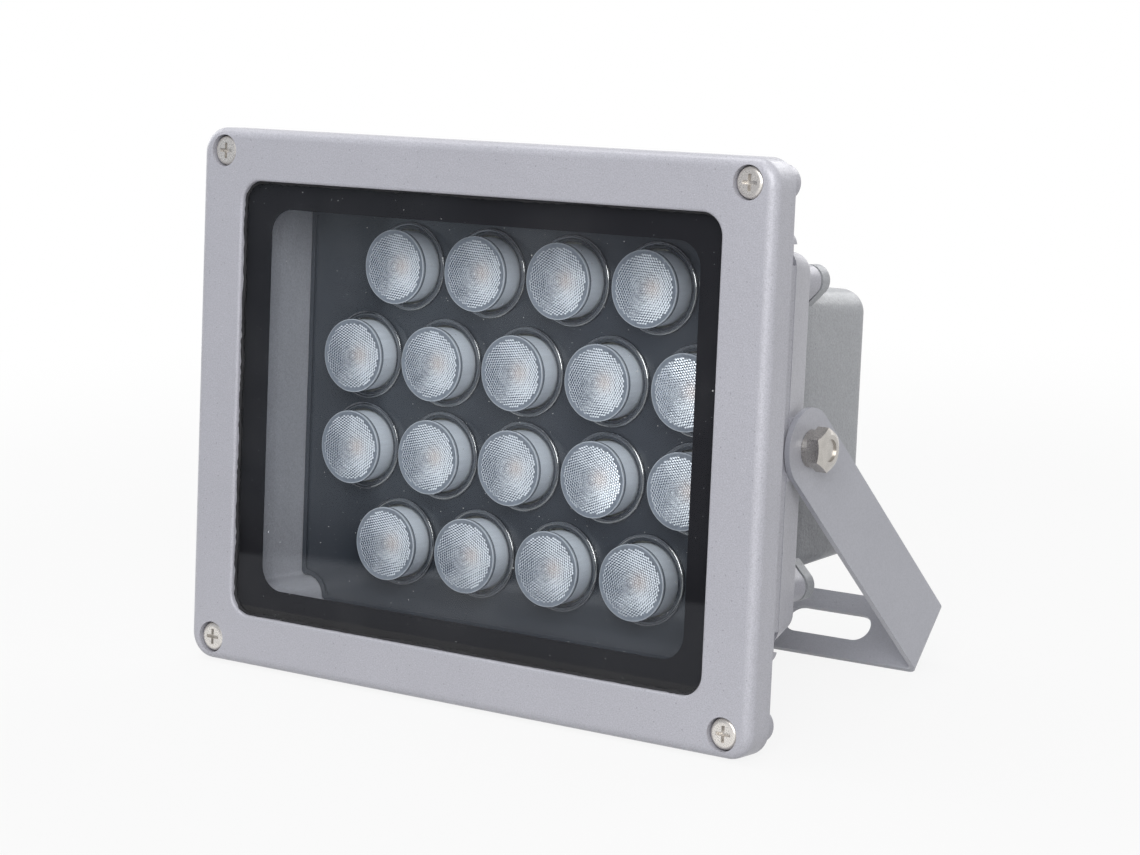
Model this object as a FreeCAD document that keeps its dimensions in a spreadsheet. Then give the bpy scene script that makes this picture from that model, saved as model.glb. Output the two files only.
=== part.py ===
import FreeCAD, Part
import os
import re

import Sketcher

# LED flood light on a U bracket.
# The origin is the centre of the bracket base's outer face, where the lamp
# is bolted down. X points to the right as the light is seen from the front,
# Y points from the front glass to the driver box, and Z points up.
# Depths named "front", "rear" or "seat" are counted from the bezel's front.

doc = FreeCAD.newDocument("flood_light")
sizes = doc.addObject("Spreadsheet::Sheet", "sizes")

SIZES = (
    # Front bezel
    ("bezel_half_width", "92.2"),
    ("bezel_half_height", "73.4"),
    ("bezel_corner", "7"),
    ("bezel_depth", "7"),
    ("bezel_edge_round", "2.7"),
    ("window_half_width", "77.3"),
    ("window_half_height", "59.5"),
    ("window_corner", "6"),
    ("window_edge_round", "0.8"),
    ("lip_thickness", "1.8"),
    # Front glass and its gasket
    ("glass_half_width", "80.5"),
    ("glass_half_height", "62.5"),
    ("glass_corner", "4.5"),
    ("glass_thickness", "4"),
    ("glass_chamfer", "0.3"),
    ("glass_edge_gap", "0.5"),
    ("gasket_width", "4.2"),
    # Bezel screws, M4 pan heads sunk in round recesses
    ("bezel_screw_x", "84.2"),
    ("bezel_screw_z", "67.2"),
    ("bezel_screw_radius", "2"),
    ("bezel_screw_length", "11"),
    ("bezel_head_radius", "4"),
    ("bezel_head_height", "3.1"),
    ("bezel_head_sink", "0.6"),
    ("recess_gap", "0.3"),
    ("screw_hole_gap", "0.25"),
    ("thread_gap", "0.05"),
    ("thread_tip_gap", "0.7"),
    ("screw_edge_round", "1.2"),
    ("cross_half_length", "2.1"),
    ("cross_half_width", "0.45"),
    ("cross_depth", "1.6"),
    # Die-cast housing: flange, bosses and the plus-shaped tub
    ("flange_thickness", "2"),
    ("boss_radius", "4.5"),
    ("boss_wall", "1.5"),
    ("wide_half_width", "76.3"),
    ("wide_half_height", "51.7"),
    ("tall_half_width", "68.6"),
    ("tall_half_height", "58"),
    ("cavity_corner", "1.2"),
    ("cavity_bulge", "5.3"),
    ("wall", "3.6"),
    ("tub_corner", "4.5"),
    ("ledge_depth", "29.6"),
    ("tub_rear", "31.2"),
    ("notch_bottom", "46.3"),
    ("notch_height", "5.3"),
    ("notch_depth", "1.2"),
    ("notch_length", "1.7"),
    # Tapered rear block with cooling grooves
    ("block_half_width", "80"),
    ("block_half_height", "50.7"),
    ("block_rear", "45.4"),
    ("block_rear_half_width", "76.2"),
    ("block_rear_half_height", "48.4"),
    ("block_corner", "5"),
    ("block_edge_round", "3.5"),
    ("floor_front", "35"),
    ("floor_thickness", "4"),
    ("groove_width", "5"),
    ("groove_pitch", "8"),
    ("groove_count", "17"),
    ("groove_web", "2.2"),
    # Collar that carries the driver box
    ("collar_half_width", "63"),
    ("collar_half_height", "38"),
    ("collar_corner", "6.5"),
    ("collar_wall", "3"),
    ("collar_rear", "64"),
    ("ear_x", "63.6"),
    ("ear_z", "40.5"),
    ("ear_radius", "4.2"),
    ("ear_root_inset", "6"),
    ("ear_thickness", "3.5"),
    # Pads for the pivots
    ("pad_half_height", "8"),
    ("pad_root", "74"),
    ("pivot_depth", "39.5"),
    ("pivot_thread_depth", "13"),
    # Mask plate in front of the light-emitting diodes
    ("plate_front", "28.6"),
    ("plate_gap", "0.3"),
    ("plate_ridge_height", "0.6"),
    ("plate_ridge_width", "1.3"),
    ("plate_hole_radius", "10.3"),
    ("plate_ring_radius", "11.2"),
    # Lenses in rows of four, five, five and four
    ("lens_pitch_x", "27.27"),
    ("lens_pitch_z", "25.25"),
    ("lens_radius", "10"),
    ("lens_front", "21.6"),
    ("lens_flange", "1.1"),
    ("lens_cone_front_radius", "8.9"),
    ("lens_cone_rear_radius", "4.2"),
    ("lens_board_gap", "1.1"),
    ("lens_pocket_radius", "2.9"),
    ("lens_pocket_depth", "3.3"),
    ("holder_front_radius", "9.9"),
    ("holder_rear_radius", "9.4"),
    ("holder_wall", "0.7"),
    # Board with the diodes
    ("board_half_width", "66"),
    ("board_half_height", "48"),
    ("board_corner", "3"),
    ("board_thickness", "1.6"),
    ("board_gap", "0.3"),
    ("emitter_half_width", "1.75"),
    ("emitter_height", "0.8"),
    ("emitter_dome_radius", "1.3"),
    ("wire_hole_radius", "4"),
    # Board screws, M3
    ("board_screw_x", "60"),
    ("board_screw_z", "38"),
    ("board_screw_radius", "1.5"),
    ("board_screw_length", "4"),
    ("board_head_radius", "2.75"),
    ("board_head_height", "2"),
    # Driver box cover and gasket
    ("driver_gasket_thickness", "1"),
    ("cover_rear", "102.5"),
    ("cover_rear_half_width", "61"),
    ("cover_rear_half_height", "36.5"),
    ("cover_edge_round", "6"),
    ("cover_wall", "2.8"),
    ("cover_inner_corner", "4"),
    ("driver_screw_radius", "1.5"),
    ("driver_screw_length", "10"),
    ("driver_head_radius", "3.2"),
    ("driver_head_height", "2.3"),
    # Driver board and its larger components
    ("post_x", "44"),
    ("post_z", "22"),
    ("post_radius", "3"),
    ("post_height", "10"),
    ("driver_board_half_width", "52"),
    ("driver_board_half_height", "28"),
    ("transformer_x", "18"),
    ("transformer_half_width", "15"),
    ("transformer_half_height", "13"),
    ("transformer_depth", "24"),
    ("winding_extra", "3"),
    ("winding_end", "4"),
    ("capacitor_x", "20"),
    ("capacitor_radius", "8"),
    ("capacitor_length", "26"),
    ("capacitor_edge_round", "1"),
    # Cable gland under the driver box
    ("gland_depth", "83"),
    ("gland_boss_radius", "10"),
    ("gland_boss_height", "1.4"),
    ("gland_thread_radius", "6"),
    ("gland_bore_radius", "4.3"),
    ("gland_flange_radius", "8.5"),
    ("gland_flange_thickness", "3.5"),
    ("gland_neck_length", "8"),
    ("gland_nut_radius", "8"),
    ("gland_nut_length", "11"),
    ("gland_nut_gap", "0.5"),
    ("gland_nut_round", "2.5"),
    ("gland_seal_gap", "0.1"),
    ("gland_seal_radius", "2.6"),
    # U bracket
    ("bracket_angle", "40.2"),
    ("bracket_reach", "91"),
    ("bracket_half_width", "10.3"),
    ("bracket_thickness", "1.5"),
    ("bracket_inner_half_width", "80.3"),
    ("bracket_bend", "3"),
    ("slot_x", "49.5"),
    ("slot_length", "27"),
    ("slot_width", "8.5"),
    ("mount_hole_radius", "4.25"),
    # Pivot bolts, M6, and their spring washers
    ("bolt_radius", "3"),
    ("bolt_running_gap", "0.08"),
    ("bolt_flats", "10"),
    ("bolt_head_height", "4"),
    ("bolt_disc_radius", "4"),
    ("bolt_dish_radius", "2.9"),
    ("bolt_dish_depth", "0.5"),
    ("bolt_chamfer_height", "0.9"),
    ("bolt_reach", "11.5"),
    ("side_gap", "0.1"),
    ("washer_thickness", "1.7"),
    ("washer_radius", "4.9"),
    ("washer_slit", "0.8"),
)
NAMES = set()
for line, (name, number) in enumerate(SIZES, start=1):
    sizes.set("A%d" % line, name)
    sizes.set("B%d" % line, number)
    sizes.setAlias("B%d" % line, name)
    NAMES.add(name)
doc.recompute()

# Places that several pieces share, each a sum of the values above
GLASS_REAR = "(lip_thickness + glass_thickness)"
BEZEL_SEAT = "(bezel_head_sink + bezel_head_height)"
FLANGE_REAR = "(bezel_depth + flange_thickness)"
BOARD_FRONT = "(floor_front - board_thickness)"
FLOOR_REAR = "(floor_front + floor_thickness)"
LENS_SEAT = "(lens_front + lens_flange)"
LENS_REAR = "(floor_front - board_thickness - lens_board_gap)"
COVER_FRONT = "(collar_rear + driver_gasket_thickness)"
POST_REAR = "(floor_front + floor_thickness + post_height)"
DRIVER_BOARD_REAR = "(floor_front + floor_thickness + post_height + board_thickness)"
GLAND_SEAT = "(collar_half_height + gland_boss_height)"
GLAND_FLANGE_END = "(collar_half_height + gland_boss_height + gland_flange_thickness)"
PAD_FACE = "(bracket_inner_half_width - side_gap)"
ARM_FACE = "(bracket_inner_half_width + bracket_thickness)"
WASHER_INNER = "(bracket_inner_half_width + bracket_thickness + side_gap)"
BOLT_SEAT = "(bracket_inner_half_width + bracket_thickness + side_gap + washer_thickness)"
# Signs of X and Z at the four corners
CORNERS = (("", ""), ("-", ""), ("-", "-"), ("", "-"))


def bound(text):
    """Expression with each sheet name written in full."""
    def full(match):
        word = match.group(0)
        return "sizes." + word if word in NAMES else word
    return re.sub(r"[a-z_][a-z0-9_]*", full, text)


def value(text):
    """Number that an expression of sheet names has now."""
    return float(sizes.evalExpression(bound(text)))


def bind(feature, prop, text):
    """Ties one property to the sheet."""
    feature.setExpression(prop, bound(text))


def in_lamp(feature, x="0", y="0", z="0"):
    """Places a piece that is drawn about the bezel's front centre."""
    bind(feature, "Placement.Base.x", x)
    bind(feature, "Placement.Base.y", y + " - pivot_depth - bracket_reach * cos(bracket_angle)")
    bind(feature, "Placement.Base.z", z + " + bracket_reach * sin(bracket_angle)")
    return feature


def new_body(node):
    """Body of one sub-part, drawn about the bezel's front centre."""
    body = doc.addObject("PartDesign::Body", node)
    body.Label = node
    return in_lamp(body)


def sketch_on(body, role, name, depth="0", x="0", y="0"):
    """Sketch on an origin plane; depth is counted along +X, +Y or +Z."""
    sketch = body.newObject("Sketcher::SketchObject", name)
    plane = next(item for item in body.Origin.OriginFeatures if item.Role == role)
    sketch.AttachmentSupport = [(plane, "")]
    sketch.MapMode = "FlatFace"
    # The XZ plane faces -Y, so its own depth runs the other way
    bind(sketch, "AttachmentOffset.Base.z", "-(%s)" % depth if role == "XZ_Plane" else depth)
    bind(sketch, "AttachmentOffset.Base.x", x)
    bind(sketch, "AttachmentOffset.Base.y", y)
    return sketch


HELD = {}


def tied(sketch, kind, *parts):
    """Notes a constraint without a size."""
    HELD.setdefault(sketch.Name, []).append((Sketcher.Constraint(kind, *parts), None))


def held(sketch, kind, parts, text):
    """Notes a dimension whose value follows the sheet."""
    constraint = Sketcher.Constraint(kind, *parts, value(text))
    HELD.setdefault(sketch.Name, []).append((constraint, text))


def settle(sketch):
    """Gives a sketch its noted constraints and binds their sizes."""
    noted = HELD.pop(sketch.Name)
    sketch.addConstraint([constraint for constraint, text in noted])
    for index, (constraint, text) in enumerate(noted):
        if text is not None:
            sketch.renameConstraint(index, "size_%d" % index)
            bind(sketch, "Constraints.size_%d" % index, text)


def held_at(sketch, geometry, point, x=None, y=None):
    """Holds a point at a place counted from the sketch's origin."""
    for kind, text, axis in (("DistanceX", x, -2), ("DistanceY", y, -1)):
        if text is None:
            continue
        number = value(text)
        if abs(number) < 1e-7:
            tied(sketch, "PointOnObject", geometry, point, axis)
        elif number > 0:
            held(sketch, kind, (-1, 1, geometry, point), text)
        else:
            held(sketch, kind, (geometry, point, -1, 1), "-(%s)" % text)


def circle(sketch, x, y, radius):
    """Circle with its centre and radius held."""
    centre = FreeCAD.Vector(value(x), value(y), 0)
    ring = sketch.addGeometry(Part.Circle(centre, FreeCAD.Vector(0, 0, 1), value(radius)), False)
    held_at(sketch, ring, 3, x, y)
    held(sketch, "Radius", (ring,), radius)


def outline(sketch, corners):
    """Closed outline of level and upright lines; each corner has x, y, radius."""
    count = len(corners)
    spots = [(value(x), value(y), value(radius)) for x, y, radius in corners]

    def toward(here, there):
        reach = max(abs(there[0] - here[0]), abs(there[1] - here[1]))
        return ((there[0] - here[0]) / reach, (there[1] - here[1]) / reach)

    lines = []
    for index in range(count):
        here = spots[index]
        there = spots[(index + 1) % count]
        way = toward(here, there)
        start = FreeCAD.Vector(here[0] + way[0] * here[2], here[1] + way[1] * here[2], 0)
        end = FreeCAD.Vector(there[0] - way[0] * there[2], there[1] - way[1] * there[2], 0)
        lines.append(sketch.addGeometry(Part.LineSegment(start, end), False))
    for index in range(count):
        before = lines[index - 1]
        after = lines[index]
        x, y, radius = spots[index]
        if radius == 0:
            tied(sketch, "Coincident", before, 2, after, 1)
            continue
        back = toward(spots[index], spots[index - 1])
        ahead = toward(spots[index], spots[(index + 1) % count])
        centre = FreeCAD.Vector(x + radius * (back[0] + ahead[0]), y + radius * (back[1] + ahead[1]), 0)
        round_ = Part.Circle(centre, FreeCAD.Vector(0, 0, 1), radius)
        first = round_.parameter(FreeCAD.Vector(x + radius * back[0], y + radius * back[1], 0))
        last = round_.parameter(FreeCAD.Vector(x + radius * ahead[0], y + radius * ahead[1], 0))
        left_turn = back[0] * ahead[1] - back[1] * ahead[0] < 0
        ends = (1, 2) if left_turn else (2, 1)
        span = (first, last) if left_turn else (last, first)
        arc = sketch.addGeometry(Part.ArcOfCircle(round_, *span), False)
        tied(sketch, "Tangent", before, 2, arc, ends[0])
        tied(sketch, "Tangent", after, 1, arc, ends[1])
        held(sketch, "Radius", (arc,), corners[index][2])
    for index, line in enumerate(lines):
        level = spots[index][1] == spots[(index + 1) % count][1]
        if level:
            tied(sketch, "Horizontal", line)
            held_at(sketch, line, 1, y=corners[index][1])
        else:
            tied(sketch, "Vertical", line)
            held_at(sketch, line, 1, x=corners[index][0])


def box_corners(half_width, half_height, radius, x="0", y="0"):
    """Corners of a rounded rectangle about a point."""
    left = "%s - (%s)" % (x, half_width)
    right = "%s + (%s)" % (x, half_width)
    low = "%s - (%s)" % (y, half_height)
    high = "%s + (%s)" % (y, half_height)
    return [(left, low, radius), (right, low, radius), (right, high, radius), (left, high, radius)]


def plus_corners(extra, corner, bulge):
    """Corners of the housing's plus shape, grown outward by extra."""
    a = "(wide_half_width + (%s))" % extra
    b = "(wide_half_height + (%s))" % extra
    c = "(tall_half_width + (%s))" % extra
    e = "(tall_half_height + (%s))" % extra
    quarter = [(a, b, corner), (c, b, bulge), (c, e, corner)]
    corners = list(quarter)
    corners += [("-" + x, y, radius) for x, y, radius in reversed(quarter)]
    corners += [("-" + x, "-" + y, radius) for x, y, radius in quarter]
    corners += [(x, "-" + y, radius) for x, y, radius in reversed(quarter)]
    return corners


def polygon(sketch, points):
    """Closed outline of straight lines through held points."""
    spots = [FreeCAD.Vector(value(x), value(y), 0) for x, y in points]
    count = len(points)
    lines = []
    for index in range(count):
        segment = Part.LineSegment(spots[index], spots[(index + 1) % count])
        lines.append(sketch.addGeometry(segment, False))
    for index in range(count):
        tied(sketch, "Coincident", lines[index - 1], 2, lines[index], 1)
    for index, (x, y) in enumerate(points):
        held_at(sketch, lines[index], 1, x, y)


def capsule(sketch, x1, y1, x2, y2, radius):
    """Slot outline between two centres."""
    first = FreeCAD.Vector(value(x1), value(y1), 0)
    last = FreeCAD.Vector(value(x2), value(y2), 0)
    size = value(radius)
    along = (last - first).normalize()
    side = FreeCAD.Vector(-along.y, along.x, 0) * size
    up = FreeCAD.Vector(0, 0, 1)
    circles = (Part.Circle(first, up, size), Part.Circle(last, up, size))
    start_arc = Part.ArcOfCircle(
        circles[0], circles[0].parameter(first + side), circles[0].parameter(first - side))
    end_arc = Part.ArcOfCircle(
        circles[1], circles[1].parameter(last - side), circles[1].parameter(last + side))
    one = sketch.addGeometry(start_arc, False)
    right = sketch.addGeometry(Part.LineSegment(first - side, last - side), False)
    two = sketch.addGeometry(end_arc, False)
    left = sketch.addGeometry(Part.LineSegment(last + side, first + side), False)
    tied(sketch, "Tangent", one, 2, right, 1)
    tied(sketch, "Tangent", right, 2, two, 1)
    tied(sketch, "Tangent", two, 2, left, 1)
    tied(sketch, "Tangent", left, 2, one, 1)
    held(sketch, "Radius", (one,), radius)
    held_at(sketch, one, 3, x1, y1)
    held_at(sketch, two, 3, x2, y2)


def pad(body, sketch, length, name):
    """Pad toward +X, +Y or +Z."""
    settle(sketch)
    feature = body.newObject("PartDesign::Pad", name)
    feature.Profile = (sketch, [""])
    feature.Reversed = "XZ_Plane" in sketch.AttachmentSupport[0][0].Role
    bind(feature, "Length", length)
    doc.recompute()
    return feature


def cut(body, sketch, length, name, toward_plus=True):
    """Pocket toward +X, +Y or +Z, or the other way."""
    settle(sketch)
    before = body.Shape.Volume
    feature = body.newObject("PartDesign::Pocket", name)
    feature.Profile = (sketch, [""])
    # A pocket runs against its sketch's face, which is -Y on the XZ plane
    faces_minus = "XZ_Plane" in sketch.AttachmentSupport[0][0].Role
    feature.Reversed = toward_plus != faces_minus
    bind(feature, "Length", length)
    doc.recompute()
    if not body.Shape.Volume < before:
        raise RuntimeError(name + " cuts nothing")
    return feature


def turned(body, sketch, name):
    """Revolution about the sketch's upright axis."""
    settle(sketch)
    feature = body.newObject("PartDesign::Revolution", name)
    feature.Profile = (sketch, [""])
    feature.ReferenceAxis = (sketch, ["V_Axis"])
    feature.Angle = 360
    return feature


def lofted(body, first, last, name):
    """Straight loft between two outlines."""
    settle(first)
    settle(last)
    feature = body.newObject("PartDesign::AdditiveLoft", name)
    feature.Profile = (first, [""])
    feature.Sections = [(last, [""])]
    feature.Ruled = True
    doc.recompute()
    return feature


def mirrored(body, originals, roles, name):
    """Repeats features across one or two origin planes."""
    planes = [next(item for item in body.Origin.OriginFeatures if item.Role == role) for role in roles]
    if len(planes) == 1:
        feature = body.newObject("PartDesign::Mirrored", name)
        feature.Originals = originals
        feature.MirrorPlane = (planes[0], [""])
    else:
        feature = body.newObject("PartDesign::MultiTransform", name)
        feature.Originals = originals
        steps = []
        for step, plane in enumerate(planes, start=1):
            mirror = doc.addObject("PartDesign::Mirrored", "%s_step_%d" % (name, step))
            mirror.MirrorPlane = (plane, [""])
            steps.append(mirror)
        feature.Transformations = steps
    body.Tip = feature
    doc.recompute()
    return feature


def edge_names(body, wanted):
    """Names of the body's edges whose bounding box passes the test."""
    return ["Edge%d" % number for number, edge in enumerate(body.Tip.Shape.Edges, start=1)
            if wanted(edge.BoundBox)]


def rounded(body, wanted, radius, name, kind="PartDesign::Fillet"):
    """Fillet or chamfer on the edges that pass the test."""
    base = body.Tip
    names = edge_names(body, wanted)
    feature = body.newObject(kind, name)
    feature.Base = (base, names)
    bind(feature, "Radius" if kind.endswith("Fillet") else "Size", radius)
    doc.recompute()
    return feature


def in_plane_y(depth):
    """Test for edges that lie at one depth."""
    return lambda box: abs(box.YMin - value(depth)) < 1e-4 and abs(box.YMax - value(depth)) < 1e-4


# Front bezel: a cast frame with a glass rebate and four sunk screws
front_bezel = new_body("front_bezel")
bezel_outline = box_corners("bezel_half_width", "bezel_half_height", "bezel_corner")
frame_sketch = sketch_on(front_bezel, "XZ_Plane", "bezel_outline")
outline(frame_sketch, bezel_outline)
pad(front_bezel, frame_sketch, "bezel_depth", "bezel_block")
rounded(front_bezel, in_plane_y("0"), "bezel_edge_round", "bezel_front_round")
window_sketch = sketch_on(front_bezel, "XZ_Plane", "window_outline")
outline(window_sketch, box_corners("window_half_width", "window_half_height", "window_corner"))
cut(front_bezel, window_sketch, "bezel_depth", "window")
rounded(
    front_bezel,
    lambda box: in_plane_y("0")(box) and box.XMax < value("window_half_width + window_edge_round")
    and box.XMin > -value("window_half_width + window_edge_round")
    and box.ZMax < value("window_half_height + window_edge_round")
    and box.ZMin > -value("window_half_height + window_edge_round"),
    "window_edge_round", "window_round")
rebate_sketch = sketch_on(front_bezel, "XZ_Plane", "rebate_outline", "lip_thickness")
outline(rebate_sketch, box_corners(
    "glass_half_width + glass_edge_gap", "glass_half_height + glass_edge_gap",
    "glass_corner + glass_edge_gap"))
cut(front_bezel, rebate_sketch, "bezel_depth - lip_thickness", "glass_rebate")
recess_sketch = sketch_on(front_bezel, "XZ_Plane", "recess_circle")
circle(recess_sketch, "bezel_screw_x", "bezel_screw_z", "bezel_head_radius + recess_gap")
recess = cut(front_bezel, recess_sketch, BEZEL_SEAT, "screw_recess")
shank_sketch = sketch_on(front_bezel, "XZ_Plane", "shank_circle", BEZEL_SEAT)
circle(shank_sketch, "bezel_screw_x", "bezel_screw_z", "bezel_screw_radius + screw_hole_gap")
shank_hole = cut(front_bezel, shank_sketch, "bezel_depth - " + BEZEL_SEAT, "screw_hole")
mirrored(front_bezel, [recess, shank_hole], ("YZ_Plane", "XY_Plane"), "screw_holes")

# Front glass
front_glass = new_body("front_glass")
glass_sketch = sketch_on(front_glass, "XZ_Plane", "glass_outline", "lip_thickness")
outline(glass_sketch, box_corners("glass_half_width", "glass_half_height", "glass_corner"))
pad(front_glass, glass_sketch, "glass_thickness", "glass_sheet")
rounded(front_glass, lambda box: box.YLength < 1e-4, "glass_chamfer", "glass_edges",
        "PartDesign::Chamfer")

# Rubber gasket between the glass and the housing flange
glass_gasket = new_body("glass_gasket")
gasket_sketch = sketch_on(glass_gasket, "XZ_Plane", "gasket_outline", GLASS_REAR)
outline(gasket_sketch, box_corners("glass_half_width", "glass_half_height", "glass_corner"))
outline(gasket_sketch, box_corners(
    "glass_half_width - gasket_width", "glass_half_height - gasket_width", "glass_corner / 2"))
pad(glass_gasket, gasket_sketch, "bezel_depth - " + GLASS_REAR, "gasket_ring")

# Die-cast housing: flange and plus-shaped tub
housing = new_body("housing")
flange_sketch = sketch_on(housing, "XZ_Plane", "flange_outline", "bezel_depth")
outline(flange_sketch, bezel_outline)
pad(housing, flange_sketch, "flange_thickness", "flange")
tub_sketch = sketch_on(housing, "XZ_Plane", "tub_outline", FLANGE_REAR)
outline(tub_sketch, plus_corners("wall", "tub_corner", "cavity_bulge - wall"))
pad(housing, tub_sketch, "tub_rear - " + FLANGE_REAR, "tub")
# Tapered block behind the tub, rounded at its rear edge
block_front_sketch = sketch_on(housing, "XZ_Plane", "block_front", "tub_rear")
outline(block_front_sketch, box_corners("block_half_width", "block_half_height", "block_corner"))
block_rear_sketch = sketch_on(housing, "XZ_Plane", "block_back", "block_rear")
outline(block_rear_sketch, box_corners(
    "block_rear_half_width", "block_rear_half_height", "block_corner"))
lofted(housing, block_front_sketch, block_rear_sketch, "block")
rounded(housing, in_plane_y("block_rear"), "block_edge_round", "block_rear_round")
# Screw bosses behind the flange corners
boss_sketch = sketch_on(housing, "XZ_Plane", "boss_circles", FLANGE_REAR)
for across, up in CORNERS:
    circle(boss_sketch, across + "bezel_screw_x", up + "bezel_screw_z", "boss_radius")
pad(housing, boss_sketch,
    BEZEL_SEAT + " + bezel_screw_length + thread_tip_gap + boss_wall - " + FLANGE_REAR, "bosses")
# Flat pads beside the bracket arms, with the pivot threads
pad_sketch = sketch_on(housing, "YZ_Plane", "pivot_pad_outline", "pad_root")
outline(pad_sketch, box_corners(
    "(block_rear - tub_rear) / 2", "pad_half_height", "0", x="(block_rear + tub_rear) / 2"))
pivot_pad = pad(housing, pad_sketch, PAD_FACE + " - pad_root", "pivot_pad")
thread_sketch = sketch_on(housing, "YZ_Plane", "pivot_thread_circle", PAD_FACE)
circle(thread_sketch, "pivot_depth", "0", "bolt_radius + thread_gap")
pivot_thread = cut(housing, thread_sketch, "pivot_thread_depth", "pivot_thread", toward_plus=False)
mirrored(housing, [pivot_pad, pivot_thread], ("YZ_Plane",), "pivot_pads")
# Cavity for the mask plate, and below it the seat of the diode board
cavity_sketch = sketch_on(housing, "XZ_Plane", "cavity_outline", "bezel_depth")
outline(cavity_sketch, plus_corners("0", "cavity_corner", "cavity_bulge"))
cut(housing, cavity_sketch, "ledge_depth - bezel_depth", "cavity")
seat_sketch = sketch_on(housing, "XZ_Plane", "board_seat_outline", "ledge_depth")
outline(seat_sketch, box_corners(
    "board_half_width + board_gap", "board_half_height + board_gap", "board_corner + board_gap"))
cut(housing, seat_sketch, "floor_front - ledge_depth", "board_seat")
# Threads behind the bezel and the diode board, and the tub's relief notches
boss_hole_sketch = sketch_on(housing, "XZ_Plane", "boss_hole_circles", "bezel_depth")
board_thread_sketch = sketch_on(housing, "XZ_Plane", "board_thread_circles", "floor_front")
notch_sketch = sketch_on(housing, "XZ_Plane", "notch_outlines", "tub_rear - notch_length")
for across, up in CORNERS:
    circle(boss_hole_sketch, across + "bezel_screw_x", up + "bezel_screw_z",
           "bezel_screw_radius + thread_gap")
    circle(board_thread_sketch, across + "board_screw_x", up + "board_screw_z",
           "board_screw_radius + thread_gap")
    outline(notch_sketch, box_corners(
        "notch_depth", "notch_height / 2", "0", x=across + "(wide_half_width + wall)",
        y=up + "(notch_bottom + notch_height / 2)"))
cut(housing, boss_hole_sketch,
    BEZEL_SEAT + " + bezel_screw_length + thread_tip_gap - bezel_depth", "boss_holes")
cut(housing, board_thread_sketch,
    "board_screw_length + thread_tip_gap - board_thickness", "board_threads")
cut(housing, notch_sketch, "notch_length", "notches")
# Upright cooling grooves above and below the driver box
groove_sketch = sketch_on(
    housing, "XZ_Plane", "groove_outline", FLOOR_REAR, "-groove_pitch * (groove_count - 1) / 2")
groove_middle = "(collar_half_height + groove_web + block_half_height) / 2"
groove_half = "(block_half_height - collar_half_height - groove_web) / 2"
outline(groove_sketch, box_corners("groove_width / 2", groove_half, "0", y=groove_middle))
outline(groove_sketch, box_corners("groove_width / 2", groove_half, "0", y="-" + groove_middle))
groove = cut(housing, groove_sketch, "block_rear - " + FLOOR_REAR, "groove")
grooves = housing.newObject("PartDesign::LinearPattern", "grooves")
grooves.Originals = [groove]
grooves.Direction = (groove_sketch, ["H_Axis"])
bind(grooves, "Length", "groove_pitch * (groove_count - 1)")
bind(grooves, "Occurrences", "groove_count")
housing.Tip = grooves
doc.recompute()
# Collar of the driver box with a pillar at each ear, and the well inside it
collar_sketch = sketch_on(housing, "XZ_Plane", "collar_outline", FLOOR_REAR)
outline(collar_sketch, box_corners("collar_half_width", "collar_half_height", "collar_corner"))
pad(housing, collar_sketch, "collar_rear - " + FLOOR_REAR, "collar")
pillar_sketch = sketch_on(housing, "XZ_Plane", "pillar_outlines", FLOOR_REAR)
for across, up in CORNERS:
    capsule(pillar_sketch, across + "(ear_x - ear_root_inset)", up + "(ear_z - ear_root_inset)",
            across + "ear_x", up + "ear_z", "ear_radius")
pad(housing, pillar_sketch, "collar_rear - " + FLOOR_REAR, "pillars")
well_sketch = sketch_on(housing, "XZ_Plane", "well_outline", FLOOR_REAR)
outline(well_sketch, box_corners(
    "collar_half_width - collar_wall", "collar_half_height - collar_wall",
    "collar_corner - collar_wall"))
cut(housing, well_sketch, "collar_rear - " + FLOOR_REAR, "well")
wire_sketch = sketch_on(housing, "XZ_Plane", "wire_circle", "floor_front")
circle(wire_sketch, "lens_pitch_x / 2", "0", "wire_hole_radius")
cut(housing, wire_sketch, "floor_thickness", "wire_hole")
# Posts of the driver board, and the threads of the posts and the pillars
ear_screw_tip = COVER_FRONT + " + ear_thickness - driver_screw_length - thread_tip_gap"
post_screw_tip = DRIVER_BOARD_REAR + " - board_screw_length - thread_tip_gap"
post_sketch = sketch_on(housing, "XZ_Plane", "post_circles", FLOOR_REAR)
post_hole_sketch = sketch_on(housing, "XZ_Plane", "post_hole_circles", post_screw_tip)
pillar_hole_sketch = sketch_on(housing, "XZ_Plane", "pillar_hole_circles", ear_screw_tip)
for across, up in CORNERS:
    circle(post_sketch, across + "post_x", up + "post_z", "post_radius")
    circle(post_hole_sketch, across + "post_x", up + "post_z", "board_screw_radius + thread_gap")
    circle(pillar_hole_sketch, across + "ear_x", up + "ear_z", "driver_screw_radius + thread_gap")
pad(housing, post_sketch, "post_height", "posts")
cut(housing, post_hole_sketch, POST_REAR + " - (" + post_screw_tip + ")", "post_holes")
cut(housing, pillar_hole_sketch, "collar_rear - (" + ear_screw_tip + ")", "pillar_holes")

# Centres of the lenses, row by row from the top left
LENS_SPOTS = []
for row, across in (("1.5", 4), ("0.5", 5), ("-0.5", 5), ("-1.5", 4)):
    for step in range(across):
        LENS_SPOTS.append((
            "lens_pitch_x * %s" % (step - (across - 1) / 2), "lens_pitch_z * (%s)" % row))

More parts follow.
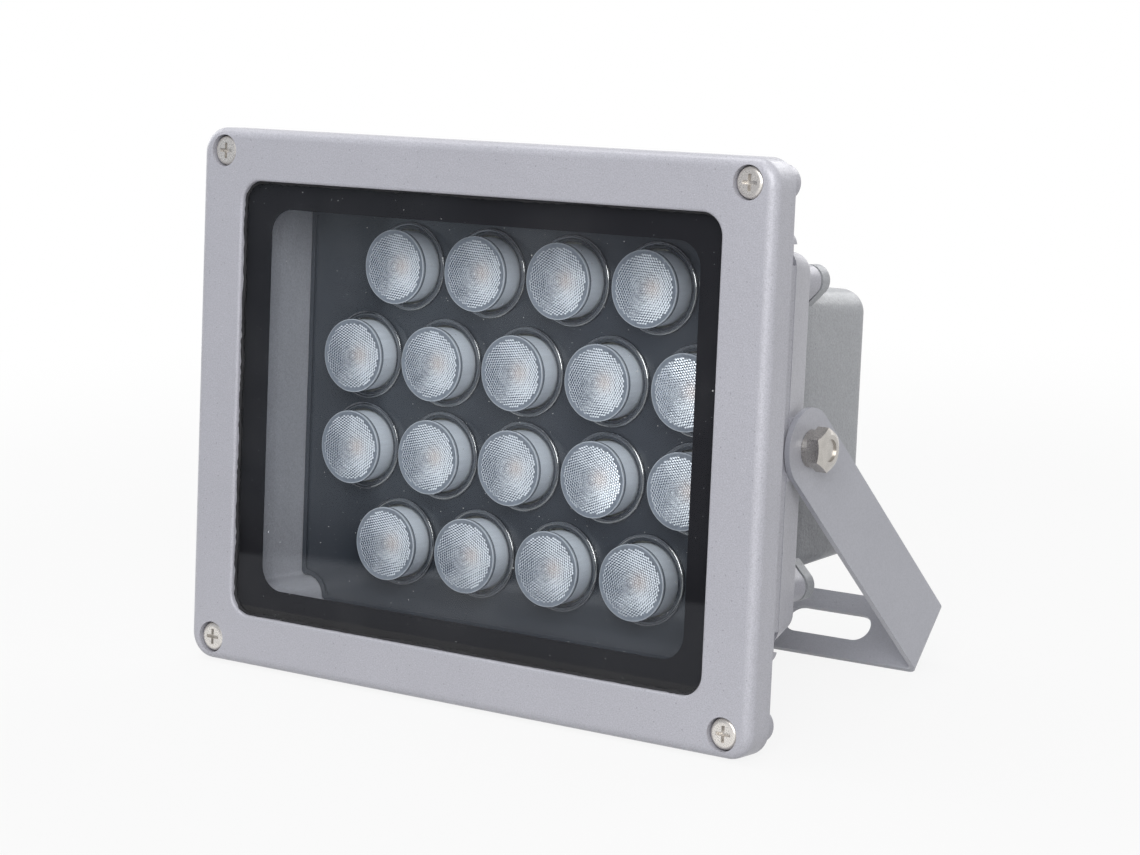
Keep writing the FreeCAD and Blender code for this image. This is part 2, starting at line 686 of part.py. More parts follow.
# Mask plate with a ridge round its rim and a raised ring round each lens hole
mask_plate = new_body("mask_plate")
plate_sketch = sketch_on(mask_plate, "XZ_Plane", "plate_outline", "plate_front")
outline(plate_sketch, plus_corners("-plate_gap", "cavity_corner", "cavity_bulge + plate_gap"))
pad(mask_plate, plate_sketch, "ledge_depth - plate_front", "plate_sheet")
ridge_sketch = sketch_on(
    mask_plate, "XZ_Plane", "ridge_outline", "plate_front - plate_ridge_height")
outline(ridge_sketch, plus_corners("-plate_gap", "cavity_corner", "cavity_bulge + plate_gap"))
outline(ridge_sketch, plus_corners(
    "-plate_gap - plate_ridge_width", "cavity_corner", "cavity_bulge + plate_gap + plate_ridge_width"))
pad(mask_plate, ridge_sketch, "plate_ridge_height", "rim_ridge")
ring_sketch = sketch_on(mask_plate, "XZ_Plane", "ring_circles", "plate_front - plate_ridge_height")
hole_sketch = sketch_on(mask_plate, "XZ_Plane", "hole_circles", "plate_front - plate_ridge_height")
for x, z in LENS_SPOTS:
    circle(ring_sketch, x, z, "plate_ring_radius")
    circle(hole_sketch, x, z, "plate_hole_radius")
pad(mask_plate, ring_sketch, "plate_ridge_height", "lens_rings")
cut(mask_plate, hole_sketch, "ledge_depth - plate_front + plate_ridge_height", "lens_holes")

# Diode board
led_board = new_body("led_board")
board_sketch = sketch_on(led_board, "XZ_Plane", "board_outline", BOARD_FRONT)
outline(board_sketch, box_corners("board_half_width", "board_half_height", "board_corner"))
circle(board_sketch, "lens_pitch_x / 2", "0", "wire_hole_radius")
pad(led_board, board_sketch, "board_thickness", "board_sheet")
board_hole_sketch = sketch_on(led_board, "XZ_Plane", "board_hole_circle", BOARD_FRONT)
circle(board_hole_sketch, "board_screw_x", "board_screw_z", "board_screw_radius + screw_hole_gap")
board_hole = cut(led_board, board_hole_sketch, "board_thickness", "board_hole")
mirrored(led_board, [board_hole], ("YZ_Plane", "XY_Plane"), "board_holes")

# Light-emitting diodes: a square package with a small dome, one per lens
emitters = []
for number, (x, z) in enumerate(LENS_SPOTS, start=1):
    package = doc.addObject("Part::Box", "package_%02d" % number)
    for side in ("Length", "Width"):
        bind(package, side, "2 * emitter_half_width" if side == "Length" else "emitter_height")
    bind(package, "Height", "2 * emitter_half_width")
    bind(package, "Placement.Base.x", x + " - emitter_half_width")
    bind(package, "Placement.Base.y", BOARD_FRONT + " - emitter_height")
    bind(package, "Placement.Base.z", z + " - emitter_half_width")
    dome = doc.addObject("Part::Sphere", "dome_%02d" % number)
    bind(dome, "Radius", "emitter_dome_radius")
    dome.Angle1 = 0
    dome.Placement.Rotation = FreeCAD.Rotation(FreeCAD.Vector(1, 0, 0), 90)
    bind(dome, "Placement.Base.x", x)
    bind(dome, "Placement.Base.y", BOARD_FRONT + " - emitter_height")
    bind(dome, "Placement.Base.z", z)
    emitter = doc.addObject("Part::Fuse", "emitter_%02d" % number)
    emitter.Base = package
    emitter.Tool = dome
    emitters.append(emitter)
led_emitters = doc.addObject("Part::Compound", "led_emitters")
led_emitters.Links = emitters
in_lamp(led_emitters)

# Lenses and their holders
lenses = []
holders = []
for number, (x, z) in enumerate(LENS_SPOTS, start=1):
    lens = new_body("lens_%02d" % number)
    in_lamp(lens, x, "0", z)
    lens_sketch = sketch_on(lens, "XY_Plane", "lens_profile")
    polygon(lens_sketch, (
        ("0", "lens_front"),
        ("lens_radius", "lens_front"),
        ("lens_radius", LENS_SEAT),
        ("lens_cone_front_radius", LENS_SEAT),
        ("lens_cone_rear_radius", LENS_REAR),
        ("lens_pocket_radius", LENS_REAR),
        ("lens_pocket_radius", LENS_REAR + " - lens_pocket_depth"),
        ("0", LENS_REAR + " - lens_pocket_depth"),
    ))
    turned(lens, lens_sketch, "lens_turned")
    lenses.append(lens)
    holder = new_body("lens_holder_%02d" % number)
    in_lamp(holder, x, "0", z)
    holder_sketch = sketch_on(holder, "XY_Plane", "holder_profile")
    polygon(holder_sketch, (
        ("holder_front_radius - holder_wall", LENS_SEAT),
        ("holder_front_radius", LENS_SEAT),
        ("holder_rear_radius", BOARD_FRONT),
        ("holder_rear_radius - holder_wall", BOARD_FRONT),
    ))
    turned(holder, holder_sketch, "holder_turned")
    holders.append(holder)


def pan_screws(body, name, x, z, seat, head, shank, faces_front):
    """Four pan-head screws with cross recesses at (+-x, +-z)."""
    head_radius, head_height = head
    shank_radius, shank_length = shank
    out = "-" if faces_front else "+"
    into = "+" if faces_front else "-"
    profile = sketch_on(body, "XY_Plane", name + "_profile", z, x, seat)
    outline(profile, (
        ("0", "%s(%s)" % (out, head_height), "0"),
        (head_radius, "%s(%s)" % (out, head_height), "screw_edge_round"),
        (head_radius, "0", "0"),
        (shank_radius, "0", "0"),
        (shank_radius, "%s(%s)" % (into, shank_length), "0"),
        ("0", "%s(%s)" % (into, shank_length), "0"),
    ))
    screw = turned(body, profile, name + "_turned")
    doc.recompute()
    top = "%s %s (%s)" % (seat, out, head_height)
    cross = sketch_on(body, "XZ_Plane", name + "_cross", top, x, z)
    long, thin = "cross_half_length", "cross_half_width"
    corner = [(long, thin, "0"), (thin, thin, "0"), (thin, long, "0")]
    corners = list(corner)
    corners += [("-" + a, b, r) for a, b, r in reversed(corner)]
    corners += [("-" + a, "-" + b, r) for a, b, r in corner]
    corners += [(a, "-" + b, r) for a, b, r in reversed(corner)]
    outline(cross, corners)
    recess_cut = cut(body, cross, "cross_depth", name + "_recess", toward_plus=faces_front)
    mirrored(body, [screw, recess_cut], ("YZ_Plane", "XY_Plane"), name + "_set")


bezel_screws = new_body("bezel_screws")
pan_screws(
    bezel_screws, "bezel_screw", "bezel_screw_x", "bezel_screw_z", BEZEL_SEAT,
    ("bezel_head_radius", "bezel_head_height"), ("bezel_screw_radius", "bezel_screw_length"), True)

led_screws = new_body("led_board_screws")
pan_screws(
    led_screws, "led_screw", "board_screw_x", "board_screw_z", BOARD_FRONT,
    ("board_head_radius", "board_head_height"), ("board_screw_radius", "board_screw_length"), True)

driver_board_screws = new_body("driver_board_screws")
pan_screws(
    driver_board_screws, "post_screw", "post_x", "post_z", DRIVER_BOARD_REAR,
    ("board_head_radius", "board_head_height"), ("board_screw_radius", "board_screw_length"), False)

driver_screws = new_body("driver_screws")
pan_screws(
    driver_screws, "driver_screw", "ear_x", "ear_z", COVER_FRONT + " + ear_thickness",
    ("driver_head_radius", "driver_head_height"), ("driver_screw_radius", "driver_screw_length"), False)

# Driver box cover: a drafted cast box with four ears and a gland boss
driver_cover = new_body("driver_cover")
rim_sketch = sketch_on(driver_cover, "XZ_Plane", "rim_outline", COVER_FRONT)
outline(rim_sketch, box_corners("collar_half_width", "collar_half_height", "collar_corner"))
pad(driver_cover, rim_sketch, "ear_thickness", "rim")
cover_front_sketch = sketch_on(
    driver_cover, "XZ_Plane", "cover_front_outline", COVER_FRONT + " + ear_thickness")
outline(cover_front_sketch, box_corners("collar_half_width", "collar_half_height", "collar_corner"))
cover_back_sketch = sketch_on(driver_cover, "XZ_Plane", "cover_back_outline", "cover_rear")
outline(cover_back_sketch, box_corners(
    "cover_rear_half_width", "cover_rear_half_height", "collar_corner"))
lofted(driver_cover, cover_front_sketch, cover_back_sketch, "cover_block")
rounded(driver_cover, in_plane_y("cover_rear"), "cover_edge_round", "cover_rear_round")
ear_sketch = sketch_on(driver_cover, "XZ_Plane", "ear_outline", COVER_FRONT)
capsule(ear_sketch, "ear_x - ear_root_inset", "ear_z - ear_root_inset", "ear_x", "ear_z", "ear_radius")
ear = pad(driver_cover, ear_sketch, "ear_thickness", "ear")
ear_hole_sketch = sketch_on(driver_cover, "XZ_Plane", "ear_hole_circle", COVER_FRONT)
circle(ear_hole_sketch, "ear_x", "ear_z", "driver_screw_radius + screw_hole_gap")
ear_hole = cut(driver_cover, ear_hole_sketch, "ear_thickness", "ear_hole")
mirrored(driver_cover, [ear, ear_hole], ("YZ_Plane", "XY_Plane"), "ears")
gland_boss_sketch = sketch_on(driver_cover, "XY_Plane", "gland_boss_circle", "-" + GLAND_SEAT)
circle(gland_boss_sketch, "0", "gland_depth", "gland_boss_radius")
pad(driver_cover, gland_boss_sketch, "gland_boss_height + cover_wall", "gland_boss")
inside_sketch = sketch_on(driver_cover, "XZ_Plane", "inside_outline", COVER_FRONT)
outline(inside_sketch, box_corners(
    "cover_rear_half_width - cover_wall", "cover_rear_half_height - cover_wall",
    "cover_inner_corner"))
cut(driver_cover, inside_sketch, "cover_rear - cover_wall - " + COVER_FRONT, "inside")
inlet_sketch = sketch_on(driver_cover, "XY_Plane", "inlet_circle", "-" + GLAND_SEAT)
circle(inlet_sketch, "0", "gland_depth", "gland_thread_radius + thread_gap")
cut(driver_cover, inlet_sketch, "collar_half_height", "inlet")

# Rubber gasket between the collar and the cover
driver_gasket = new_body("driver_gasket")
seal_sketch = sketch_on(driver_gasket, "XZ_Plane", "driver_gasket_outline", "collar_rear")
outline(seal_sketch, box_corners("collar_half_width", "collar_half_height", "collar_corner"))
outline(seal_sketch, box_corners(
    "collar_half_width - collar_wall", "collar_half_height - collar_wall",
    "collar_corner - collar_wall"))
pad(driver_gasket, seal_sketch, "driver_gasket_thickness", "driver_gasket_ring")

# Driver board on the housing's posts
driver_board = new_body("driver_board")
driver_sketch = sketch_on(driver_board, "XZ_Plane", "driver_board_outline", POST_REAR)
outline(driver_sketch, box_corners(
    "driver_board_half_width", "driver_board_half_height", "board_corner"))
pad(driver_board, driver_sketch, "board_thickness", "driver_board_sheet")
driver_hole_sketch = sketch_on(driver_board, "XZ_Plane", "driver_board_hole_circle", POST_REAR)
circle(driver_hole_sketch, "post_x", "post_z", "board_screw_radius + screw_hole_gap")
driver_hole = cut(driver_board, driver_hole_sketch, "board_thickness", "driver_board_hole")
mirrored(driver_board, [driver_hole], ("YZ_Plane", "XY_Plane"), "driver_board_holes")

# Transformer: a core with its winding standing proud of two sides
transformer = new_body("transformer")
core_sketch = sketch_on(
    transformer, "XZ_Plane", "core_outline", DRIVER_BOARD_REAR, "-transformer_x")
outline(core_sketch, box_corners("transformer_half_width", "transformer_half_height", "0"))
pad(transformer, core_sketch, "transformer_depth", "core")
winding_sketch = sketch_on(
    transformer, "XZ_Plane", "winding_outline", DRIVER_BOARD_REAR + " + winding_end",
    "-transformer_x")
outline(winding_sketch, box_corners(
    "transformer_half_width - winding_end", "transformer_half_height + winding_extra",
    "winding_extra"))
pad(transformer, winding_sketch, "transformer_depth - 2 * winding_end", "winding")

# Smoothing capacitor standing on the driver board
capacitor = new_body("capacitor")
can_sketch = sketch_on(
    capacitor, "XY_Plane", "capacitor_profile", "0", "capacitor_x", DRIVER_BOARD_REAR)
outline(can_sketch, (
    ("0", "0", "0"),
    ("capacitor_radius", "0", "0"),
    ("capacitor_radius", "capacitor_length", "capacitor_edge_round"),
    ("0", "capacitor_length", "0"),
))
turned(capacitor, can_sketch, "capacitor_can")

# Cable gland: threaded body, clamping nut and rubber seal, on a downward axis
gland_body = new_body("gland_body")
gland_sketch = sketch_on(gland_body, "XZ_Plane", "gland_body_profile", "gland_depth")
outline(gland_sketch, (
    ("gland_bore_radius", "-(collar_half_height - collar_wall - cover_wall)", "0"),
    ("gland_thread_radius", "-(collar_half_height - collar_wall - cover_wall)", "0"),
    ("gland_thread_radius", "-" + GLAND_SEAT, "0"),
    ("gland_flange_radius", "-" + GLAND_SEAT, "0"),
    ("gland_flange_radius", "-" + GLAND_FLANGE_END, "0"),
    ("gland_thread_radius", "-" + GLAND_FLANGE_END, "0"),
    ("gland_thread_radius", "-(" + GLAND_FLANGE_END + " + gland_neck_length)", "0"),
    ("gland_bore_radius", "-(" + GLAND_FLANGE_END + " + gland_neck_length)", "0"),
))
turned(gland_body, gland_sketch, "gland_body_turned")

gland_nut = new_body("gland_nut")
nut_sketch = sketch_on(gland_nut, "XZ_Plane", "gland_nut_profile", "gland_depth")
nut_front = "-(" + GLAND_FLANGE_END + " + gland_nut_gap)"
nut_end = "-(" + GLAND_FLANGE_END + " + gland_nut_gap + gland_nut_length)"
neck_end = "-(" + GLAND_FLANGE_END + " + gland_neck_length + gland_nut_gap)"
outline(nut_sketch, (
    ("gland_thread_radius + thread_gap", nut_front, "0"),
    ("gland_nut_radius", nut_front, "0"),
    ("gland_nut_radius", nut_end, "gland_nut_round"),
    ("gland_bore_radius", nut_end, "0"),
    ("gland_bore_radius", neck_end, "0"),
    ("gland_thread_radius + thread_gap", neck_end, "0"),
))
turned(gland_nut, nut_sketch, "gland_nut_turned")

gland_seal = new_body("gland_seal")
gland_seal_sketch = sketch_on(gland_seal, "XZ_Plane", "gland_seal_profile", "gland_depth")
outline(gland_seal_sketch, (
    ("gland_seal_radius", "-" + GLAND_FLANGE_END, "0"),
    ("gland_bore_radius - gland_seal_gap", "-" + GLAND_FLANGE_END, "0"),
    ("gland_bore_radius - gland_seal_gap", nut_end, "0"),
    ("gland_seal_radius", nut_end, "0"),
))
turned(gland_seal, gland_seal_sketch, "gland_seal_turned")

# U bracket of bent strip; its own Y runs from the pivots to the base
u_bracket = doc.addObject("PartDesign::Body", "u_bracket")
u_bracket.Label = "u_bracket"
bind(u_bracket, "Placement",
     "placement(vector(0; -bracket_reach * cos(bracket_angle); bracket_reach * sin(bracket_angle));"
     " rotation(vector(1; 0; 0); -bracket_angle))")
strip_sketch = sketch_on(u_bracket, "XY_Plane", "strip_outline", "-bracket_half_width")
outline(strip_sketch, (
    ("-" + ARM_FACE, "0", "0"),
    ("-bracket_inner_half_width", "0", "0"),
    ("-bracket_inner_half_width", "bracket_reach - bracket_thickness",
     "bracket_bend - bracket_thickness"),
    ("bracket_inner_half_width", "bracket_reach - bracket_thickness",
     "bracket_bend - bracket_thickness"),
    ("bracket_inner_half_width", "0", "0"),
    (ARM_FACE, "0", "0"),
    (ARM_FACE, "bracket_reach", "bracket_bend"),
    ("-" + ARM_FACE, "bracket_reach", "bracket_bend"),
))
pad(u_bracket, strip_sketch, "2 * bracket_half_width", "strip")
arm_end_sketch = sketch_on(u_bracket, "YZ_Plane", "arm_end_circle", "bracket_inner_half_width")
circle(arm_end_sketch, "0", "0", "bracket_half_width")
arm_end = pad(u_bracket, arm_end_sketch, "bracket_thickness", "arm_end")
pivot_hole_sketch = sketch_on(u_bracket, "YZ_Plane", "pivot_hole_circle", "bracket_inner_half_width")
circle(pivot_hole_sketch, "0", "0", "bolt_radius + bolt_running_gap")
pivot_hole = cut(u_bracket, pivot_hole_sketch, "bracket_thickness", "pivot_hole")
mirrored(u_bracket, [arm_end, pivot_hole], ("YZ_Plane",), "arm_ends")
slot_sketch = sketch_on(
    u_bracket, "XZ_Plane", "slot_outline", "bracket_reach - bracket_thickness")
capsule(slot_sketch, "slot_x - (slot_length - slot_width) / 2", "0",
        "slot_x + (slot_length - slot_width) / 2", "0", "slot_width / 2")
slot = cut(u_bracket, slot_sketch, "bracket_thickness", "slot")
mirrored(u_bracket, [slot], ("YZ_Plane",), "slots")
centre_sketch = sketch_on(
    u_bracket, "XZ_Plane", "mount_hole_circle", "bracket_reach - bracket_thickness")
circle(centre_sketch, "0", "0", "mount_hole_radius")
cut(u_bracket, centre_sketch, "bracket_thickness", "mount_hole")

# Pivot bolts: hexagon heads with a turned chamfer and a dished top
right_hex = doc.addObject("Part::Prism", "bolt_hexagon")
right_hex.Polygon = 6
bind(right_hex, "Circumradius", "bolt_flats / sqrt(3)")
bind(right_hex, "Height", "bolt_head_height")
head_cone = doc.addObject("Part::Cone", "bolt_head_cone")
cone_reach = "bolt_disc_radius + bolt_head_height * (bolt_flats / sqrt(3) - bolt_disc_radius) / bolt_chamfer_height"
bind(head_cone, "Radius1", cone_reach)
bind(head_cone, "Radius2", "bolt_disc_radius")
bind(head_cone, "Height", "bolt_head_height")
head = doc.addObject("Part::Common", "bolt_head")
head.Base = right_hex
head.Tool = head_cone
dish = doc.addObject("Part::Cylinder", "bolt_dish")
bind(dish, "Radius", "bolt_dish_radius")
bind(dish, "Height", "bolt_dish_depth")
bind(dish, "Placement.Base.z", "bolt_head_height - bolt_dish_depth")
dished = doc.addObject("Part::Cut", "bolt_dished_head")
dished.Base = head
dished.Tool = dish
shank = doc.addObject("Part::Cylinder", "bolt_shank")
bind(shank, "Radius", "bolt_radius")
bind(shank, "Height", "bolt_reach + washer_thickness + bracket_thickness + 2 * side_gap")
bind(shank, "Placement.Base.z",
     "-(bolt_reach + washer_thickness + bracket_thickness + 2 * side_gap)")
right_bolt = doc.addObject("Part::Fuse", "right_bolt")
right_bolt.Base = dished
right_bolt.Tool = shank
bind(right_bolt, "Placement",
     "placement(vector(" + BOLT_SEAT + "; pivot_depth; 0); rotation(vector(0; 1; 0); 90))")
left_bolt = doc.addObject("Part::Mirroring", "left_bolt")
left_bolt.Source = right_bolt
left_bolt.Normal = FreeCAD.Vector(1, 0, 0)
pivot_bolts = doc.addObject("Part::Compound", "pivot_bolts")
pivot_bolts.Links = [right_bolt, left_bolt]
in_lamp(pivot_bolts)

# Split spring washers under the bolt heads
washer_disc = doc.addObject("Part::Cylinder", "washer_disc")
bind(washer_disc, "Radius", "washer_radius")
bind(washer_disc, "Height", "washer_thickness")
washer_bore = doc.addObject("Part::Cylinder", "washer_bore")
bind(washer_bore, "Radius", "bolt_radius + thread_gap")
bind(washer_bore, "Height", "washer_thickness")
washer_ring = doc.addObject("Part::Cut", "washer_ring")
washer_ring.Base = washer_disc
washer_ring.Tool = washer_bore
washer_gap = doc.addObject("Part::Box", "washer_gap")
bind(washer_gap, "Length", "washer_radius")
bind(washer_gap, "Width", "washer_slit")
bind(washer_gap, "Height", "washer_thickness")
bind(washer_gap, "Placement.Base.y", "-washer_slit / 2")
washer_split = doc.addObject("Part::Cut", "washer_split")
washer_split.Base = washer_ring
washer_split.Tool = washer_gap
bind(washer_split, "Placement",
     "placement(vector(" + WASHER_INNER + "; pivot_depth; 0); rotation(vector(0; 1; 0); 90))")
left_washer = doc.addObject("Part::Mirroring", "left_washer")
left_washer.Source = washer_split
left_washer.Normal = FreeCAD.Vector(1, 0, 0)
spring_washers = doc.addObject("Part::Compound", "spring_washers")
spring_washers.Links = [washer_split, left_washer]
in_lamp(spring_washers)

NODES = [
    u_bracket, front_bezel, front_glass, glass_gasket, housing, mask_plate, led_board, led_emitters,
    bezel_screws, led_screws, driver_board_screws, driver_cover, driver_gasket, driver_screws,
    driver_board, transformer, capacitor, gland_body, gland_nut, gland_seal, pivot_bolts,
    spring_washers,
]
NODES += lenses
NODES += holders

doc.recompute()
for item in doc.Objects:
    if "Invalid" in item.State or "Error" in item.State:
        raise RuntimeError(item.Name + " isn't right: " + str(item.State))
for node in NODES:
    if node.Shape.isNull() or not node.Shape.isValid():
        raise RuntimeError(node.Label + " has no valid shape")
os.makedirs("parts", exist_ok=True)
for node in NODES:
    node.Shape.exportStep("parts/%s.step" % node.Label)
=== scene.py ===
"""Finishes, printed glass, lens faces, sealant and stage of an LED flood light on a U bracket."""

import bmesh
import bpy
import numpy as np
from mathutils import Matrix, Vector


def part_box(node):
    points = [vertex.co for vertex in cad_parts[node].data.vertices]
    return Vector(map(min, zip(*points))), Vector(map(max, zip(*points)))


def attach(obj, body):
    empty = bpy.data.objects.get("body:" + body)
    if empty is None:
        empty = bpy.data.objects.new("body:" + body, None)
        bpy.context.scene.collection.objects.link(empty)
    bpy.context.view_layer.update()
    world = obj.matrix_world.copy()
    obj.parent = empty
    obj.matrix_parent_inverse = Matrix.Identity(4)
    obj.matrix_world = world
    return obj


bl_info = {
    "name": "Flood Light Finishes",
    "version": (1, 0, 0),
    "blender": (4, 5, 0),
    "location": "View3D > Sidebar > Flood Light",
    "description": "Finishes, lens faces, sealant and stage of an LED flood light",
    "category": "Object",
}

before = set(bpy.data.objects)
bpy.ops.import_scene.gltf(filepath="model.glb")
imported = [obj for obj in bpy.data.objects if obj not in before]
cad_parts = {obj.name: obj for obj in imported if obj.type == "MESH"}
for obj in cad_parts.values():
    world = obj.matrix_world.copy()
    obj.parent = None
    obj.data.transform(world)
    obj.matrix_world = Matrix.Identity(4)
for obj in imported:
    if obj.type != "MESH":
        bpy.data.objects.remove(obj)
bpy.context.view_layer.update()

MM = 0.001
BEZEL_LOW, BEZEL_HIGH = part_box("front_bezel")
GLASS_LOW, GLASS_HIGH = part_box("front_glass")
# The middle of the bezel's front plane: x to the right seen from the front, y to the rear, z up.
FRONT = np.array([0.0, BEZEL_LOW.y, (BEZEL_LOW.z + BEZEL_HIGH.z) / 2.0])
# The numbers of the lenses, as their nodes' names give them.
LENSES = [f"{number:02d}" for number in range(1, 19)]
WHITE = (1.0, 1.0, 1.0, 1.0)

# The print: its thickness, how far it stays from the glass's edge, and its outer corner radius.
PRINT_THICKNESS = 0.08 * MM
PRINT_EDGE_GAP = 0.1 * MM
PRINT_CORNER = 1.0 * MM

# The bead of sealant in the corner between bezel and glass: middle height and width, how far
# both vary, how far the bead reaches into its neighbours, the number of its sections, and how
# many of them lie between equal variations of the height and of the width.
BEAD_HIGH, BEAD_HIGH_VARIES = 0.52 * MM, 0.3 * MM
BEAD_WIDE, BEAD_WIDE_VARIES = 0.62 * MM, 0.26 * MM
BEAD_INTO = 0.04 * MM
BEAD_STEPS, BEAD_LAG = 900, 61

# Section of a lens's rim, as radii and as depths behind the lens's front face, and where the
# painted highlight on its raised edge starts and how wide the change is.
RIM_RADII = np.array([8.2, 9.3, 9.5, 9.62, 9.78, 9.93, 10.03, 10.04, 9.97, 8.2]) * MM
RIM_DEPTHS = np.array([-0.03, -0.03, -0.05, -0.11, -0.15, -0.13, -0.06, 0.5, 0.55, 0.04]) * MM
RIM_EDGE_START, RIM_EDGE_WIDTH = 9.72 * MM, 0.2 * MM

# The faceted sheet: how far its valleys stand before the lens's front face, and its thickness.
FACET_SEAT = 0.05 * MM
FACET_SHEET = 0.12 * MM

# Soft patches of a lens's face, as x, z and spread in shares of the facet field's radius: where
# painted glints lie on the facets, where painted light makes the face lighter or (below zero)
# painted shade makes it darker and by how much, and where the painted image of the diode seen
# through the lens lies.
PAINTED_GLINTS = ((-0.25, 0.74, 0.3), (-0.38, -0.66, 0.34))
PAINTED_LIGHT_AND_SHADE = (
    (0.42, (0.55, -0.5, 0.42)),
    (0.3, (0.1, 0.78, 0.28)),
    (0.2, (0.7, 0.2, 0.34)),
    (-0.12, (-0.4, -0.6, 0.3)),
)
PAINTED_DIODE_PATCH = (0.3, 0.04, 0.3)

# Painted shade: the holder darkens between these depths behind the bezel's front.
HOLDER_PAINTED_SHADE = (23.0 * MM, 33.0 * MM)

# The ring round each opening of the mask plate: radius of its ridge, half its width, depth of
# its foot, height, and depth of its root inside the plate.
RING_RADIUS, RING_HALF_WIDTH = 11.5 * MM, 0.62 * MM
RING_FOOT, RING_HEIGHT, RING_ROOT = 0.12 * MM, 0.46 * MM, 0.7 * MM

# The floor lies under the bezel's lower rear edge and the bracket's lower rear edge, by a gap:
# y and z of both. Its shadow fades out between two distances from the origin.
FLOOR_FRONT = np.array([-100.0, -14.66]) * MM
FLOOR_REAR = np.array([-6.65, -7.87]) * MM
FLOOR_GAP = 0.05 * MM
FLOOR_FADE = (220.0 * MM, 620.0 * MM)

# Name, place in metres, side in metres and power in watts of each lamp.
LAMPS = (
    ("key", (0.75, -1.3, 0.7), 1.1, 22.2),
    ("left", (-1.35, 0.0, 0.6), 0.9, 6.0),
    ("top", (-0.3, -0.2, 1.35), 0.9, 7.5),
    ("back", (0.1, 1.3, 0.9), 0.9, 7.5),
)
LAMP_AIM = (0.0, -0.06, 0.06)

# The card in front of the lamp that only reflections show: its reach in x and z, and its y, in
# metres. Its tones change between two values of x, and between two pairs of heights that climb
# a little along x.
CARD_X, CARD_Y, CARD_Z = (-0.75, 0.06), -0.205, (-0.022, 0.42)
CARD_TURN = (-92.0 * MM, -70.0 * MM)
CARD_BLACK, CARD_DARK = (0.5 * MM, 2.5 * MM), (3.0 * MM, 26.0 * MM)
CARD_CLIMB = 0.043

# Place of the camera in metres, and the ways to its right and ahead.
CAMERA_PLACE = (0.45783, -0.70109, 0.14622)
CAMERA_RIGHT = (0.8103, 0.5845, 0.0414)
CAMERA_AHEAD = (-0.5773, 0.8084, -0.1149)


def srgb(red, green, blue):
    """The linear colour of three display levels from 0 to 255."""
    level = np.array([red, green, blue]) / 255.0
    low = level / 12.92
    high = ((level + 0.055) / 1.055) ** 2.4
    return tuple(float(x) for x in np.where(level <= 0.04045, low, high))


# ---------------------------------------------------------------- settings


def colour(title, about, default):
    """A colour that a user may change."""
    return bpy.props.FloatVectorProperty(
        name=title, description=about, subtype="COLOR", size=3, min=0.0, max=1.0, default=default
    )


def share(title, about, default):
    """A number from 0 to 1 that a user may change."""
    return bpy.props.FloatProperty(
        name=title, description=about, subtype="FACTOR", min=0.0, max=1.0, default=default
    )


def length(title, about, default):
    """A length in metres that a user may change."""
    return bpy.props.FloatProperty(
        name=title,
        description=about,
        subtype="DISTANCE",
        unit="LENGTH",
        default=default,
        precision=5,
    )


class FloodPaintSettings(bpy.types.PropertyGroup):
    """Colours of the painted and bare metal."""

    casting: colour("Casting", "Silver paint of the bezel and the housing", srgb(178, 178, 186))
    box: colour("Driver box", "Sand-textured paint of the driver box", srgb(165, 167, 171))
    bracket: colour("Bracket", "Paint of the bent bracket", srgb(170, 171, 179))
    gloss: share("Roughness", "Roughness of the silver paint", 0.46)
    steel: colour("Steel", "Colour of the stainless screws and bolts", srgb(190, 186, 181))


class FloodGlassSettings(bpy.types.PropertyGroup):
    """The front glass, its printed border and the sealant."""

    ink: colour("Print", "Black ceramic print round the glass", srgb(24, 24, 28))
    clear_wide: length(
        "Clear half width", "Half width of the clear field inside the print", 69.4 * MM
    )
    clear_high: length(
        "Clear half height", "Half height of the clear field inside the print", 52.1 * MM
    )
    clear_corner: length("Clear corner", "Corner radius of the clear field", 6.8 * MM)
    dust: share("Dust", "How strongly the dust on the glass shows", 0.45)
    window_wide: length("Window half width", "Half width of the bezel's window", 77.3 * MM)
    window_high: length("Window half height", "Half height of the bezel's window", 59.5 * MM)
    window_corner: length("Window corner", "Corner radius of the bezel's window", 6.0 * MM)


class FloodLensSettings(bpy.types.PropertyGroup):
    """The faceted lens faces and what is behind them."""

    pitch: length("Facet pitch", "Distance between two facets of the honeycomb", 0.76 * MM)
    height: length("Facet height", "Height of a facet", 0.18 * MM)
    reach: length("Facet field", "Radius of the faceted field", 8.75 * MM)
    bright: colour("Bright facets", "Facet sides that catch the light", srgb(240, 246, 255))
    dim: colour("Dim facets", "Facet sides that look away from the light", srgb(70, 80, 98))
    # Colour of the painted image of the diode seen through the lens.
    tint: colour("Diode tint", "Tint of the diode behind the lens", srgb(222, 200, 190))
    rim: colour("Rim", "Clear flat rim of the lens", srgb(120, 127, 139))
    holder: colour("Holder", "Frosted holder behind the lens", srgb(222, 228, 238))
    plate: colour("Plate", "Glossy black plate round the lenses", srgb(52, 56, 63))


class FloodStageSettings(bpy.types.PropertyGroup):
    """Floor, lamps and camera."""

    floor_size: length("Floor size", "Side of the floor", 6.0)
    sky: share("Sky", "Strength of the plain light from all round", 0.33)
    shade: share("Shadow", "How much of the floor's shadow shows", 0.12)
    lens: bpy.props.FloatProperty(
        name="Focal length", description="Focal length of the camera in millimetres", default=92.2
    )


# ---------------------------------------------------------------- shader maths


